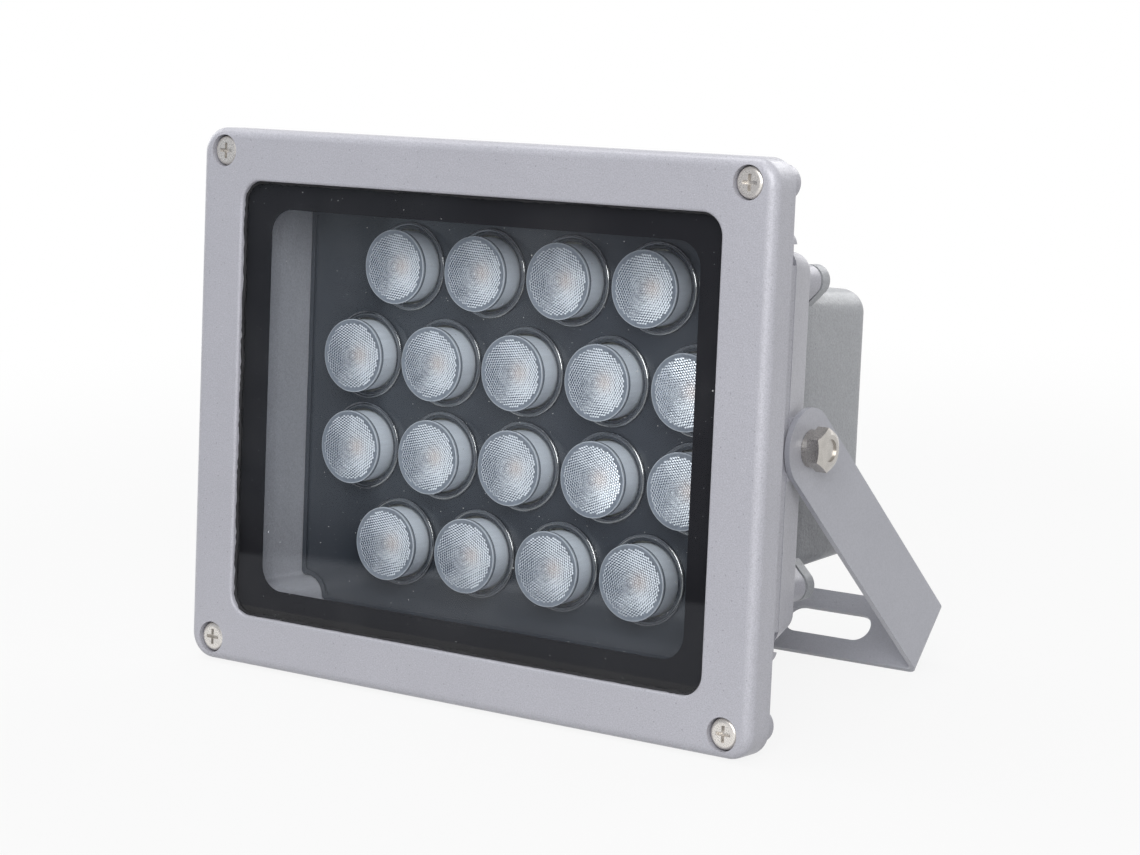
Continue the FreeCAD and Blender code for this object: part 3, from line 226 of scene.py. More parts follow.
class Wire:
    """A socket of a material. Arithmetic on it adds Math nodes to its tree."""

    def __init__(self, tree, socket=None):
        self.tree, self.socket = tree, socket

    def node(self, kind, settings=None, inputs=None, out=0):
        """Adds a node of this type, sets its settings, then the values or links of its sockets."""
        made = self.tree.nodes.new(kind)
        for name, value in (settings or {}).items():
            setattr(made, name, value)
        for name, value in (inputs or {}).items():
            if isinstance(value, Wire):
                self.tree.links.new(value.socket, made.inputs[name])
            else:
                made.inputs[name].default_value = value
        return Wire(self.tree, made.outputs[out])

    def maths(self, operation, first, second=0.0):
        """A Math node of this operation."""
        return self.node("ShaderNodeMath", {"operation": operation}, {0: first, 1: second})

    def __add__(self, other):
        return self.maths("ADD", self, other)

    def __sub__(self, other):
        return self.maths("SUBTRACT", self, other)

    def __rsub__(self, other):
        return self.maths("SUBTRACT", other, self)

    def __mul__(self, other):
        return self.maths("MULTIPLY", self, other)

    def __lt__(self, other):
        return self.maths("LESS_THAN", self, other)

    def power(self, exponent):
        """This value to a power."""
        return self.maths("POWER", self, exponent)

    def absolute(self):
        """This value without its sign."""
        return self.maths("ABSOLUTE", self)

    def step(self, low, high):
        """0 below low, 1 above high and a smooth rise between them."""
        return self.node(
            "ShaderNodeMapRange",
            {"interpolation_type": "SMOOTHSTEP"},
            {"Value": self, "From Min": low, "From Max": high, "To Min": 0.0, "To Max": 1.0},
        )

    def tinted(self, low, high):
        """A colour between two colours, by this value."""
        sides = [side if isinstance(side, Wire) else (*side, 1.0) for side in (low, high)]
        return self.node(
            "ShaderNodeMix", {"data_type": "RGBA"}, {0: self, 6: sides[0], 7: sides[1]}, out=2
        )


class Finish:
    """A material that is being made. Its patterns read Object coordinates in millimetres."""

    def __init__(self, name, **constants):
        self.material = bpy.data.materials.new(name)
        self.material.use_nodes = True
        self.tree = self.material.node_tree
        self.shader = self.tree.nodes["Principled BSDF"]
        self.start = Wire(self.tree)
        for socket, value in constants.items():
            self.shader.inputs[socket.replace("_", " ")].default_value = value
        metres = self.start.node("ShaderNodeTexCoord", out="Object")
        self.place = self.start.node(
            "ShaderNodeVectorMath", {"operation": "SCALE"}, {0: metres, "Scale": 1.0 / MM}
        )

    def feed(self, **sockets):
        """Links values to sockets of the shader."""
        for name, value in sockets.items():
            self.tree.links.new(value.socket, self.shader.inputs[name.replace("_", " ")])

    def along(self, axis):
        """One coordinate in millimetres."""
        return self.start.node("ShaderNodeSeparateXYZ", None, {0: self.place}, out=axis)

    def attribute(self, name):
        """A number stored on the mesh."""
        return self.start.node("ShaderNodeAttribute", {"attribute_name": name}, out="Fac")

    def stretched(self, scale):
        """The coordinates, scaled by three numbers."""
        return self.start.node("ShaderNodeMapping", None, {"Vector": self.place, "Scale": scale})

    def shown(self, whole):
        """Makes this shader the surface of the material in place of its own."""
        output = self.tree.nodes["Material Output"]
        self.tree.links.new(whole.socket, output.inputs["Surface"])
        self.tree.nodes.remove(self.shader)

    def noise(self, scale, detail=2.0, rough=0.5, place=None):
        """Noise with this many features per millimetre."""
        return self.start.node(
            "ShaderNodeTexNoise",
            None,
            {"Vector": place or self.place, "Scale": scale, "Detail": detail, "Roughness": rough},
        )

    def specks(self, scale, size, share_kept):
        """Dots on a share of the cells of a Voronoi pattern, size being their radius in cells."""
        cells = {"Vector": self.place, "Scale": scale}
        gap = self.start.node("ShaderNodeTexVoronoi", None, cells, out="Distance")
        pick = self.start.node("ShaderNodeTexVoronoi", None, cells, out="Color")
        chance = self.start.node("ShaderNodeSeparateColor", None, {0: pick})
        return (1.0 - gap.step(size * 0.5, size)) * (chance < share_kept)

    def bump(self, height, depth):
        """A Bump node that feeds Normal: height from 0 to 1 stands for depth in millimetres."""
        normal = self.start.node(
            "ShaderNodeBump", None, {"Height": height, "Strength": 1.0, "Distance": depth * MM}
        )
        self.tree.links.new(normal.socket, self.shader.inputs["Normal"])
        return self


def scaled(shade, factor):
    """A colour made darker or lighter."""
    return tuple(min(1.0, channel * factor) for channel in shade)


def painted(name, shade, roughness, grain, depth, fleck):
    """Cast metal under sprayed silver paint: a cloudy tone, light and dark flecks that show as
    much as fleck says, and a peel whose grain is in features per millimetre and whose depth is
    in millimetres."""
    finish = Finish(name, Metallic=0.12, IOR=1.45, Coat_Roughness=0.16)
    cloud = finish.noise(0.035, detail=3.0, rough=0.55)
    fine = finish.noise(grain * 1.7, detail=2.0, rough=0.6)
    tone = cloud.tinted(scaled(shade, 0.94), scaled(shade, 1.06))
    tone = (fine.step(0.35, 0.7) * fleck).tinted(tone, scaled(shade, 0.78))
    light = finish.specks(grain * 0.9, size=0.3, share_kept=0.1) * (fleck * 0.5)
    tone = light.tinted(tone, scaled(shade, 1.3))
    dark = finish.specks(grain * 0.5, size=0.26, share_kept=0.06) * (fleck * 0.8)
    tone = dark.tinted(tone, scaled(shade, 0.6))
    peel = finish.noise(grain, detail=3.0, rough=0.55) + finish.noise(grain * 0.22) * 1.6
    finish.feed(
        Base_Color=tone,
        Roughness=finish.noise(0.4) * 0.12 + (roughness - 0.06),
        Coat_Weight=cloud * 0.3 + 0.12,
    )
    return finish.bump(peel, depth)


def steel(name, shade, metallic):
    """Stainless steel: bright metal with fine turned scratches, a few stains and a worn bloom."""
    finish = Finish(name, Metallic=metallic, IOR=2.4)
    scratch = finish.noise(2.2, detail=3.0, rough=0.65, place=finish.stretched((1.0, 6.0, 1.0)))
    bloom = finish.noise(0.35, detail=3.0, rough=0.6)
    finish.feed(
        Base_Color=bloom.step(0.4, 0.8).tinted(shade, scaled(shade, 0.84)),
        Roughness=scratch * 0.14 + (bloom * 0.1 + 0.16),
    )
    return finish.bump(scratch, 0.003)


def rubber(name, shade):
    """Black rubber: matt, with a dusty bloom and a fine moulded grain."""
    finish = Finish(name, IOR=1.5)
    bloom = finish.noise(0.25, detail=4.0, rough=0.6)
    finish.feed(
        Base_Color=bloom.step(0.4, 0.8).tinted(shade, scaled(shade, 2.2)),
        Roughness=bloom * 0.2 + 0.62,
    )
    return finish.bump(finish.noise(3.5, detail=3.0, rough=0.6), 0.02)


def moulded(name, shade, roughness, depth):
    """Moulded plastic: even colour with faint flow marks and a spark-eroded grain."""
    finish = Finish(name, IOR=1.49)
    flow = finish.noise(0.12, detail=3.0, rough=0.5, place=finish.stretched((1.0, 0.25, 1.0)))
    finish.feed(
        Base_Color=flow.tinted(scaled(shade, 0.9), scaled(shade, 1.1)),
        Roughness=finish.noise(2.0) * 0.14 + (roughness - 0.07),
    )
    return finish.bump(finish.noise(4.0, detail=2.0, rough=0.55), depth)


def wear(nodes, finish):
    """Assigns a finish to every material slot of these CAD nodes."""
    for name in nodes:
        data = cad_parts[name].data
        if not data.materials:
            data.materials.append(finish.material)
        for index in range(len(data.materials)):
            data.materials[index] = finish.material


# ---------------------------------------------------------------- surfaces


def rounded_path(half_wide, half_high, radius, count):
    """Evenly spaced points round a rectangle with rounded corners, and their outward directions.
    A corner point is the corner's centre plus radius times the cosine and sine of its angle."""
    steps = 25
    turn = np.linspace(0.0, np.pi / 2.0, steps)
    angle = (np.arange(4)[:, None] * np.pi / 2.0 + turn).ravel()
    sign = np.repeat(np.array([[1, 1], [-1, 1], [-1, -1], [1, -1]]), steps, axis=0)
    out = np.stack([np.cos(angle), np.sin(angle)], axis=1)
    points = sign * (half_wide - radius, half_high - radius) + radius * out
    points, out = np.vstack([points, points[:1]]), np.vstack([out, out[:1]])
    run = np.concatenate([[0.0], np.cumsum(np.linalg.norm(np.diff(points, axis=0), axis=1))])
    place = np.arange(count) * run[-1] / count
    even = np.stack([np.interp(place, run, points[:, i]) for i in (0, 1)], axis=1)
    ways = np.stack([np.interp(place, run, out[:, i]) for i in (0, 1)], axis=1)
    return even, ways / np.linalg.norm(ways, axis=1, keepdims=True)


def ring_faces(rows, columns):
    """Quads of a grid whose rows and columns both close on themselves."""
    row, column = np.meshgrid(np.arange(rows), np.arange(columns), indexing="ij")
    after, beside = (row + 1) % rows, (column + 1) % columns
    here, there = row * columns, after * columns
    corners = [here + column, here + beside, there + beside, there + column]
    return np.stack(corners, axis=-1).reshape(-1, 4)


def sheet_faces(rows, columns):
    """Quads of an open grid."""
    index = np.arange(rows * columns).reshape(rows, columns)
    corners = [index[:-1, :-1], index[1:, :-1], index[1:, 1:], index[:-1, 1:]]
    return np.stack(corners, axis=-1).reshape(-1, 4)


def piece(name, points, faces, finish, smooth=True, closed=True):
    """A mesh object from points in metres and faces, standing in place with its object at the
    origin. A closed one has its normals recalculated outwards."""
    mesh = bpy.data.meshes.new(name)
    mesh.from_pydata(points.tolist(), [], faces.tolist())
    if closed:
        work = bmesh.new()
        work.from_mesh(mesh)
        bmesh.ops.recalc_face_normals(work, faces=work.faces)
        work.to_mesh(mesh)
        work.free()
    mesh.polygons.foreach_set("use_smooth", np.full(len(mesh.polygons), smooth))
    mesh.materials.append(finish.material)
    mesh.update()
    made = bpy.data.objects.new(name, mesh)
    bpy.context.scene.collection.objects.link(made)
    return made


def put(mesh, name, values, domain):
    """Stores a number on each point or face of a mesh."""
    stored = mesh.attributes.new(name, "FLOAT", domain)
    stored.data.foreach_set("value", np.asarray(values, np.float32))


def carried(path, out, across, depth):
    """A closed section carried along a closed path. The point is the path's point moved out by
    across, at depth behind the bezel's front; across and depth are arrays of path by section."""
    flat = path[:, None, :] + across[:, :, None] * out[:, None, :]
    return (FRONT + np.stack([flat[..., 0], depth, flat[..., 1]], axis=-1)).reshape(-1, 3)


def turned(centre, radii, depths, count):
    """A closed section turned about a lens's axis. The point is the centre plus radius times the
    cosine and sine of the angle, at the section's depth."""
    angle = np.arange(count) * 2.0 * np.pi / count
    way = np.stack([np.cos(angle), np.zeros(count), np.sin(angle)], axis=1)
    back = np.array([0.0, 1.0, 0.0])
    out = way[:, None, :] * radii[None, :, None]
    return (centre + out + back * depths[None, :, None]).reshape(-1, 3)


def lens_centre(number, depth):
    """The middle of a lens, at a given y of the row frame."""
    low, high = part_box(f"lens_{number}")
    return np.array([(low.x + high.x) / 2.0, depth, (low.z + high.z) / 2.0])


def honeycomb(pitch, height, reach):
    """Triangles of a honeycomb of six-sided points. On a triangular lattice every third point is
    a tip, raised by height, and the rest are valleys; a triangle is kept where its tip is within
    reach. Returns flat points, their heights, triangles, and each triangle's way from its tip."""
    side = pitch / np.sqrt(3.0)
    count = int(reach / side * 1.3) + 2
    steps = np.arange(-count, count + 1)
    row, column = np.meshgrid(steps, steps, indexing="ij")
    flat = np.stack([side * (column + row / 2.0), side * row * np.sqrt(0.75)], axis=-1)
    flat = flat.reshape(-1, 2)
    tip = ((column - row) % 3 == 0).ravel()
    wide = 2 * count + 1
    inner = np.arange(wide - 1)
    base = (inner[:, None] * wide + inner[None, :]).ravel()
    up = np.stack([base, base + 1, base + wide], axis=1)
    down = np.stack([base + 1, base + wide + 1, base + wide], axis=1)
    faces = np.vstack([up, down])
    tips = faces[np.arange(len(faces)), np.argmax(tip[faces], axis=1)]
    kept = np.linalg.norm(flat[tips], axis=1) < reach
    faces, tips = faces[kept], tips[kept]
    way = flat[faces].mean(axis=1) - flat[tips]
    used, index = np.unique(faces, return_inverse=True)
    way = way / np.linalg.norm(way, axis=1, keepdims=True)
    return flat[used], height * tip[used], index.reshape(-1, 3), way


def patch(middle, where):
    """A soft round patch: e to the minus squared distance over spread squared, where being the
    patch's x, z and spread."""
    x, z, spread = where
    return np.exp(-(((middle - (x, z)) / spread) ** 2).sum(axis=1))


# ---------------------------------------------------------------- operators


class FLOOD_OT_castings(bpy.types.Operator):
    """Paints the bezel and the housing"""

    bl_idname = "flood_light.castings"
    bl_label = "Castings"

    def execute(self, context):
        paint = context.scene.flood_paint
        shade, gloss = tuple(paint.casting), paint.gloss
        bezel = painted("bezel_paint", shade, gloss, grain=1.9, depth=0.07, fleck=0.95)
        shade = scaled(shade, 0.97)
        tub = painted("housing_paint", shade, gloss + 0.04, grain=1.5, depth=0.09, fleck=0.8)
        wear(["front_bezel"], bezel)
        wear(["housing"], tub)
        return {"FINISHED"}


class FLOOD_OT_driver_box(bpy.types.Operator):
    """Paints the driver box with its sandy texture"""

    bl_idname = "flood_light.driver_box"
    bl_label = "Driver Box"

    def execute(self, context):
        shade = tuple(context.scene.flood_paint.box)
        finish = painted("box_sand", shade, roughness=0.6, grain=1.15, depth=0.24, fleck=0.8)
        wear(["driver_cover"], finish)
        return {"FINISHED"}


class FLOOD_OT_bracket(bpy.types.Operator):
    """Paints the bent bracket"""

    bl_idname = "flood_light.bracket"
    bl_label = "Bracket"

    def execute(self, context):
        shade = tuple(context.scene.flood_paint.bracket)
        finish = painted("bracket_paint", shade, roughness=0.44, grain=1.5, depth=0.06, fleck=0.45)
        wear(["u_bracket"], finish)
        return {"FINISHED"}


class FLOOD_OT_hardware(bpy.types.Operator):
    """Gives screws, bolts and washers their stainless steel"""

    bl_idname = "flood_light.hardware"
    bl_label = "Screws and Bolts"

    def execute(self, context):
        shade = tuple(context.scene.flood_paint.steel)
        wear(["pivot_bolts", "spring_washers"], steel("stainless_steel", shade, metallic=1.0))
        names = ("bezel_screws", "led_board_screws", "driver_board_screws", "driver_screws")
        wear(names, steel("screw_steel", scaled(shade, 1.35), metallic=0.55))
        return {"FINISHED"}


class FLOOD_OT_glass(bpy.types.Operator):
    """Makes the clear glass with its dust, and the black print round its edge"""

    bl_idname = "flood_light.glass"
    bl_label = "Glass and Print"

    def execute(self, context):
        settings = context.scene.flood_glass
        wear(["front_glass"], self.clear(settings.dust))
        count = 480
        inner, _ = rounded_path(
            settings.clear_wide, settings.clear_high, settings.clear_corner, count
        )
        half_wide = GLASS_HIGH.x - PRINT_EDGE_GAP
        half_high = (GLASS_HIGH.z - GLASS_LOW.z) / 2.0 - PRINT_EDGE_GAP
        outer, _ = rounded_path(half_wide, half_high, PRINT_CORNER, count)
        # The clear shader doesn't bend light, so the print stands where the glass would show it.
        middle = (GLASS_LOW.y + GLASS_HIGH.y) / 2.0 - FRONT[1]
        near, far = middle - PRINT_THICKNESS / 2.0, middle + PRINT_THICKNESS / 2.0
        flat = np.stack([inner, outer, outer, inner], axis=1)
        depth = np.broadcast_to([near, near, far, far], (count, 4))
        points = FRONT + np.stack([flat[..., 0], depth, flat[..., 1]], axis=-1)
        points = points.reshape(-1, 3)
        ink = self.ink(tuple(settings.ink))
        border = piece("glass_print", points, ring_faces(count, 4), ink, smooth=False)
        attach(border, "lamp")
        return {"FINISHED"}

    def ink(self, shade):
        """The print: cloudy ceramic ink with a little dust."""
        ink = Finish("glass_print", IOR=1.45, Specular_IOR_Level=0.1)
        cloud = ink.noise(0.08, detail=3.0, rough=0.5)
        tone = cloud.tinted(scaled(shade, 0.85), scaled(shade, 1.15))
        dust = ink.specks(0.55, size=0.1, share_kept=0.4) * 0.5
        ink.feed(
            Base_Color=dust.tinted(tone, srgb(120, 122, 126)),
            Roughness=cloud * 0.1 + 0.55,
        )
        return ink.bump(ink.noise(1.5), 0.003)

    def clear(self, dust):
        """Clear glass: a see-through and a glossy shader, mixed by 0.035 plus 0.965 times the
        fifth power of one minus the cosine of the view's slant, with white dust."""
        finish = Finish("clear_glass")
        slant = finish.start.node("ShaderNodeLayerWeight", None, {"Blend": 0.5}, out="Facing")
        sheen = slant.power(5.0) * 0.965 + 0.035
        gloss = finish.start.node("ShaderNodeBsdfGlossy", None, {"Roughness": 0.015})
        through = finish.start.node("ShaderNodeBsdfTransparent", None, {0: (0.99, 1.0, 1.0, 1.0)})
        pane = finish.start.node("ShaderNodeMixShader", None, {0: sheen, 1: through, 2: gloss})
        fine = finish.specks(0.4, size=0.07, share_kept=0.3)
        coarse = finish.specks(0.12, size=0.035, share_kept=0.5)
        film = finish.noise(0.03, detail=3.0, rough=0.6).step(0.45, 0.8) * 0.012
        grains = finish.start.node("ShaderNodeBsdfDiffuse", None, {0: (0.8, 0.82, 0.84, 1.0)})
        cover = (fine + coarse) * dust + film
        whole = finish.start.node("ShaderNodeMixShader", None, {0: cover, 1: pane, 2: grains})
        finish.shown(whole)
        return finish


class FLOOD_OT_sealant(bpy.types.Operator):
    """Lays the ragged bead of black sealant between the bezel and the glass"""

    bl_idname = "flood_light.sealant"
    bl_label = "Sealant"

    def execute(self, context):
        settings = context.scene.flood_glass
        finish = rubber("sealant_black", srgb(22, 22, 25))
        path, out = rounded_path(
            settings.window_wide, settings.window_high, settings.window_corner, BEAD_STEPS
        )
        ragged = self.ragged(BEAD_STEPS)
        high = BEAD_HIGH + BEAD_HIGH_VARIES * ragged
        wide = BEAD_WIDE + BEAD_WIDE_VARIES * np.roll(ragged, BEAD_LAG)
        seat = GLASS_LOW.y - FRONT[1]
        into, thin = np.full(BEAD_STEPS, BEAD_INTO), np.full(BEAD_STEPS, BEAD_INTO / 2.0)
        across = np.stack([into, into, -0.35 * wide, -wide, -0.9 * wide], axis=1)
        rise = np.stack([-into, high, 0.72 * high, thin, -into], axis=1)
        points = carried(path, out, across, seat - rise)
        bead = piece("glass_sealant", points, ring_faces(*across.shape), finish)
        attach(bead, "lamp")
        return {"FINISHED"}

    def ragged(self, count):
        """Uneven values from -1 to 1 round a closed path: a sum of cosines with 3 to 259 waves,
        each of random size and start, that gets weaker as the waves get shorter."""
        chance = np.random.default_rng(7)
        along = np.arange(count) / count * 2.0 * np.pi
        waves = np.arange(3, 260)
        size = chance.normal(size=len(waves)) / waves**0.55
        start = chance.uniform(0.0, 2.0 * np.pi, len(waves))
        total = (size[:, None] * np.cos(waves[:, None] * along + start[:, None])).sum(axis=0)
        return np.clip(total / np.abs(total).max() * 1.6, -1.0, 1.0)


class FLOOD_OT_lenses(bpy.types.Operator):
    """Makes the faceted faces of the lenses, with painted light and shade, and their rims, with
    painted highlights, and finishes lenses and holders
    """

    bl_idname = "flood_light.lenses"
    bl_label = "Lenses"

    def execute(self, context):
        settings = context.scene.flood_lens
        wear([f"lens_{number}" for number in LENSES], self.body(settings))
        wear([f"lens_holder_{number}" for number in LENSES], self.cup(settings))
        facets, rim = self.facets(settings), self.rim(settings)
        comb = honeycomb(settings.pitch, settings.height, settings.reach)
        chance = np.random.default_rng(18)
        for number in LENSES:
            centre = lens_centre(number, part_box(f"lens_{number}")[0].y)
            self.face(number, centre, comb, settings.reach, chance, facets)
            self.ring(number, centre, rim)
        return {"FINISHED"}

    def face(self, number, centre, comb, reach, chance, finish):
        """The faceted face of one lens: the honeycomb as a thin sheet, turned by chance."""
        flat, raised, faces, way = comb
        turn = chance.uniform(0.0, np.pi / 3.0)
        spin = np.array([[np.cos(turn), -np.sin(turn)], [np.sin(turn), np.cos(turn)]])
        spot, side = flat @ spin.T, way @ spin.T
        points = centre + np.stack([spot[:, 0], -FACET_SEAT - raised, spot[:, 1]], axis=1)
        face = piece(f"lens_facets_{number}", points, faces, finish, smooth=False, closed=False)
        middle = spot[faces].mean(axis=1) / reach
        painted_light = self.painted_light(middle, side)
        put(face.data, "painted_light", painted_light + chance.normal(0.0, 0.05, len(painted_light)), "FACE")
        # Where the painted image of the diode seen through the lens lies on the facets.
        put(face.data, "tint", patch(middle, PAINTED_DIODE_PATCH), "FACE")
        back = face.modifiers.new("Sheet", "SOLIDIFY")
        back.thickness, back.offset = FACET_SHEET, -1.0
        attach(face, "lamp")

    def painted_light(self, middle, side):
        """The painted light and shade of each facet's side: an even level with soft painted
        patches of light and shade and six-sided painted bands, plus a painted contrast of light
        and shade between sides that lean outwards and inwards, which grows towards the lens's
        edge, plus a strong one, painted glints, between upper and lower sides where the lens
        glints."""
        # Every term below is painted light and shade: the patches, the bands, the contrast of the
        # sides and the glints.
        far = np.linalg.norm(middle, axis=1)
        lean = (middle / np.maximum(far, 1e-6)[:, None] * side).sum(axis=1)
        contrast = 0.2 + 0.7 * np.clip((far - 0.3) / 0.6, 0.0, 1.0)
        painted_glint = sum(patch(middle, where) for where in PAINTED_GLINTS)
        glow = sum(strength * patch(middle, where) for strength, where in PAINTED_LIGHT_AND_SHADE)
        angle = np.arctan2(middle[:, 1], middle[:, 0])
        sector = np.radians(60.0) * np.round(angle / np.radians(60.0))
        hexagon = far * np.cos(angle - sector)
        bands = (0.03 + 0.13 * np.clip(middle[:, 0] + 0.2, 0.0, 1.0)) * np.sin(hexagon * 34.0)
        even = 0.54 + 0.06 * far + glow + bands
        return even + contrast * lean + 0.95 * painted_glint * (side @ (0.35, 0.94))

    def ring(self, number, centre, finish):
        """The flat rim and raised edge of one lens, which carries the painted highlight, as a
        section turned on its axis.
        """
        count = 96
        points = turned(centre, RIM_RADII, RIM_DEPTHS, count)
        made = piece(f"lens_rim_{number}", points, ring_faces(count, len(RIM_RADII)), finish)
        # Where the painted highlight lies: 0 on the flat rim, 1 on the raised edge.
        edge = np.clip((RIM_RADII - RIM_EDGE_START) / RIM_EDGE_WIDTH, 0.0, 1.0)
        put(made.data, "edge", np.tile(edge, count), "POINT")
        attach(made, "lamp")

    def facets(self, settings):
        """Facet sides, lit or shaded by the painted light level stored on each, with the painted
        image of the diode seen through the lens as a tint.
        """
        finish = Finish("lens_facets", Roughness=0.18, IOR=1.49, Coat_Weight=0.3, Metallic=0.3)
        # The stored level is painted light and shade, and picks between the lit and the shaded
        # facet colour.
        level = finish.attribute("painted_light") + (finish.noise(0.35) - 0.5) * 0.25
        shade = level.step(0.05, 1.05).tinted(tuple(settings.dim), tuple(settings.bright))
        # The painted image of the diode seen through the lens tints the facets.
        painted_diode = finish.attribute("tint") * 0.45
        finish.feed(Base_Color=painted_diode.tinted(shade, tuple(settings.tint)))
        return finish

    def rim(self, settings):
        """The clear flat rim, and its raised edge with a painted highlight, where it is also
        glossier.
        """
        finish = Finish("lens_rim", IOR=1.49, Coat_Weight=0.3)
        edge = finish.attribute("edge")
        swirl = finish.noise(0.5, detail=3.0, rough=0.6)
        shade = tuple(settings.rim)
        dark = swirl.tinted(scaled(shade, 0.75), scaled(shade, 1.25))
        # The raised edge is painted light as a highlight.
        finish.feed(
            Base_Color=edge.tinted(dark, srgb(182, 188, 198)),
            Roughness=0.3 - edge * 0.12,
        )
        return finish.bump(swirl, 0.02)

    def body(self, settings):
        """The lens body: clear moulded plastic, greyed by what is behind it."""
        finish = Finish("lens_clear", IOR=1.49, Roughness=0.12, Coat_Weight=0.2)
        flow = finish.noise(0.3, detail=3.0, rough=0.55)
        shade = tuple(settings.rim)
        finish.feed(Base_Color=flow.tinted(scaled(shade, 0.8), scaled(shade, 1.2)))
        return finish.bump(flow, 0.03)

    def cup(self, settings):
        """The holder: frosted plastic with draw marks along its depth, and painted shade that
        darkens it towards its foot.
        """
        finish = Finish("holder_frosted", IOR=1.49)
        marks = finish.noise(1.4, place=finish.stretched((1.0, 0.08, 1.0)))
        # Painted shade, darker deeper in the lamp towards the plate.
        painted_shade = finish.along("Y").step(*((FRONT[1] + depth) / MM for depth in HOLDER_PAINTED_SHADE))
        shade = tuple(settings.holder)
        tone = marks.tinted(scaled(shade, 0.88), scaled(shade, 1.12))
        finish.feed(
            Base_Color=painted_shade.tinted(tone, scaled(shade, 0.72)),
            Roughness=marks * 0.16 + 0.3,
        )
        return finish.bump(marks, 0.02)


class FLOOD_OT_plate(bpy.types.Operator):
    """Gives the plate round the lenses its black gloss, and each of its holes a rounded ring"""

    bl_idname = "flood_light.plate"
    bl_label = "Plate"

    def execute(self, context):
        shade = tuple(context.scene.flood_lens.plate)
        finish = Finish("plate_gloss", IOR=1.5, Coat_Roughness=0.1)
        cloud = finish.noise(0.03, detail=3.0, rough=0.55)
        tone = cloud.tinted(scaled(shade, 0.8), scaled(shade, 1.2))
        coarse = finish.specks(0.3, size=0.05, share_kept=0.6)
        dust = coarse + finish.specks(0.9, size=0.09, share_kept=0.3)
        finish.feed(
            Base_Color=(dust * 0.4).tinted(tone, srgb(190, 192, 196)),
            Roughness=cloud * 0.1 + (finish.noise(0.5) * 0.04 + 0.07),
            Coat_Weight=cloud * 0.6,
        )
        wear(["mask_plate"], finish.bump(finish.noise(0.12), 0.06))
        gloss = Finish("ring_gloss", IOR=2.4, Coat_Weight=1.0, Coat_IOR=2.0, Coat_Roughness=0.1)
        smear = gloss.noise(0.3)
        gloss.feed(
            Base_Color=smear.tinted(scaled(shade, 0.6), scaled(shade, 0.95)),
            Roughness=smear * 0.08 + 0.05,
        )
        self.rings(gloss)
        return {"FINISHED"}

    def rings(self, finish):
        """A rounded ridge round each hole of the plate: a section turned on each lens's axis."""
        low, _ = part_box("mask_plate")
        angle = np.linspace(0.0, np.pi, 9)
        ends = [RING_RADIUS + RING_HALF_WIDTH, RING_RADIUS - RING_HALF_WIDTH]
        radii = np.append(RING_RADIUS - RING_HALF_WIDTH * np.cos(angle), ends)
        depths = np.append(RING_FOOT - RING_HEIGHT * np.sin(angle), [RING_ROOT, RING_ROOT])
        count = 80
        points, faces = [], []
        for number in LENSES:
            faces.append(ring_faces(count, len(radii)) + len(points) * count * len(radii))
            points.append(turned(lens_centre(number, low.y), radii, depths, count))
        made = piece("plate_rings", np.vstack(points), np.vstack(faces), finish)
        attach(made, "lamp")


class FLOOD_OT_boards(bpy.types.Operator):
    """Finishes the diode board, the diodes, the driver board and what stands on it"""

    bl_idname = "flood_light.boards"
    bl_label = "Boards"

    def execute(self, context):
        white, silver = srgb(226, 226, 220), srgb(205, 205, 198)
        green, pale_green = srgb(22, 84, 48), srgb(40, 112, 66)
        wear(["led_board"], self.board("board_white", white, silver, roughness=0.35))
        wear(["driver_board"], self.board("board_green", green, pale_green, roughness=0.3))
        diode = Finish("diode_yellow", IOR=1.41, Roughness=0.3)
        grain = diode.noise(2.5, detail=3.0, rough=0.6)
        diode.feed(Base_Color=grain.tinted(srgb(222, 178, 62), srgb(240, 210, 110)))
        wear(["led_emitters"], diode.bump(grain, 0.02))
        wear(["transformer"], self.transformer())
        sleeve = moulded("capacitor_sleeve", srgb(26, 27, 34), roughness=0.3, depth=0.006)
        wear(["capacitor"], sleeve)
        return {"FINISHED"}

    def transformer(self):
        """A ferrite core with yellow tape round its middle, a little over half its width."""
        low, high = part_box("transformer")
        middle, wide = (low.x + high.x) / 2.0 / MM, (high.x - low.x) / MM
        core = Finish("transformer_core", IOR=1.6)
        speck = core.noise(2.2, detail=3.0, rough=0.6)
        off = (core.along("X") - middle).absolute()
        tape = 1.0 - off.step(wide * 0.27, wide * 0.29)
        ferrite = speck.tinted(srgb(44, 44, 48), srgb(70, 70, 74))
        core.feed(
            Base_Color=tape.tinted(ferrite, srgb(214, 178, 46)),
            Roughness=speck * 0.2 + (0.55 - tape * 0.25),
        )
        return core.bump(speck, 0.03)

    def board(self, name, mask, track, roughness):
        """A circuit board: solder mask with straight tracks under it and a fine weave."""
        finish = Finish(name, IOR=1.5, Coat_Weight=0.2)
        upright = finish.start.node(
            "ShaderNodeMapping",
            None,
            {
                "Vector": finish.place,
                "Rotation": (np.pi / 2.0, 0.0, 0.0),
                "Scale": (0.09, 0.09, 0.09),
            },
        )
        tracks = finish.start.node(
            "ShaderNodeTexBrick",
            {"offset": 0.37},
            {"Vector": upright, "Scale": 1.0, "Mortar Size": 0.035, "Mortar Smooth": 0.2},
            out="Fac",
        )
        weave = finish.noise(1.6)
        tone = weave.tinted(scaled(mask, 0.94), scaled(mask, 1.05))
        finish.feed(Base_Color=tracks.tinted(tone, track), Roughness=weave * 0.12 + roughness)
        return finish.bump(tracks + weave * 0.3, 0.03)


class FLOOD_OT_seals(bpy.types.Operator):
    """Finishes the gaskets and the cable gland"""

    bl_idname = "flood_light.seals"
    bl_label = "Gaskets and Gland"

    def execute(self, context):
        black = rubber("black_rubber", srgb(30, 30, 32))
        wear(["glass_gasket", "driver_gasket", "gland_seal"], black)
        nylon = moulded("gland_nylon", srgb(38, 38, 41), roughness=0.42, depth=0.02)
        wear(["gland_body", "gland_nut"], nylon)
        return {"FINISHED"}


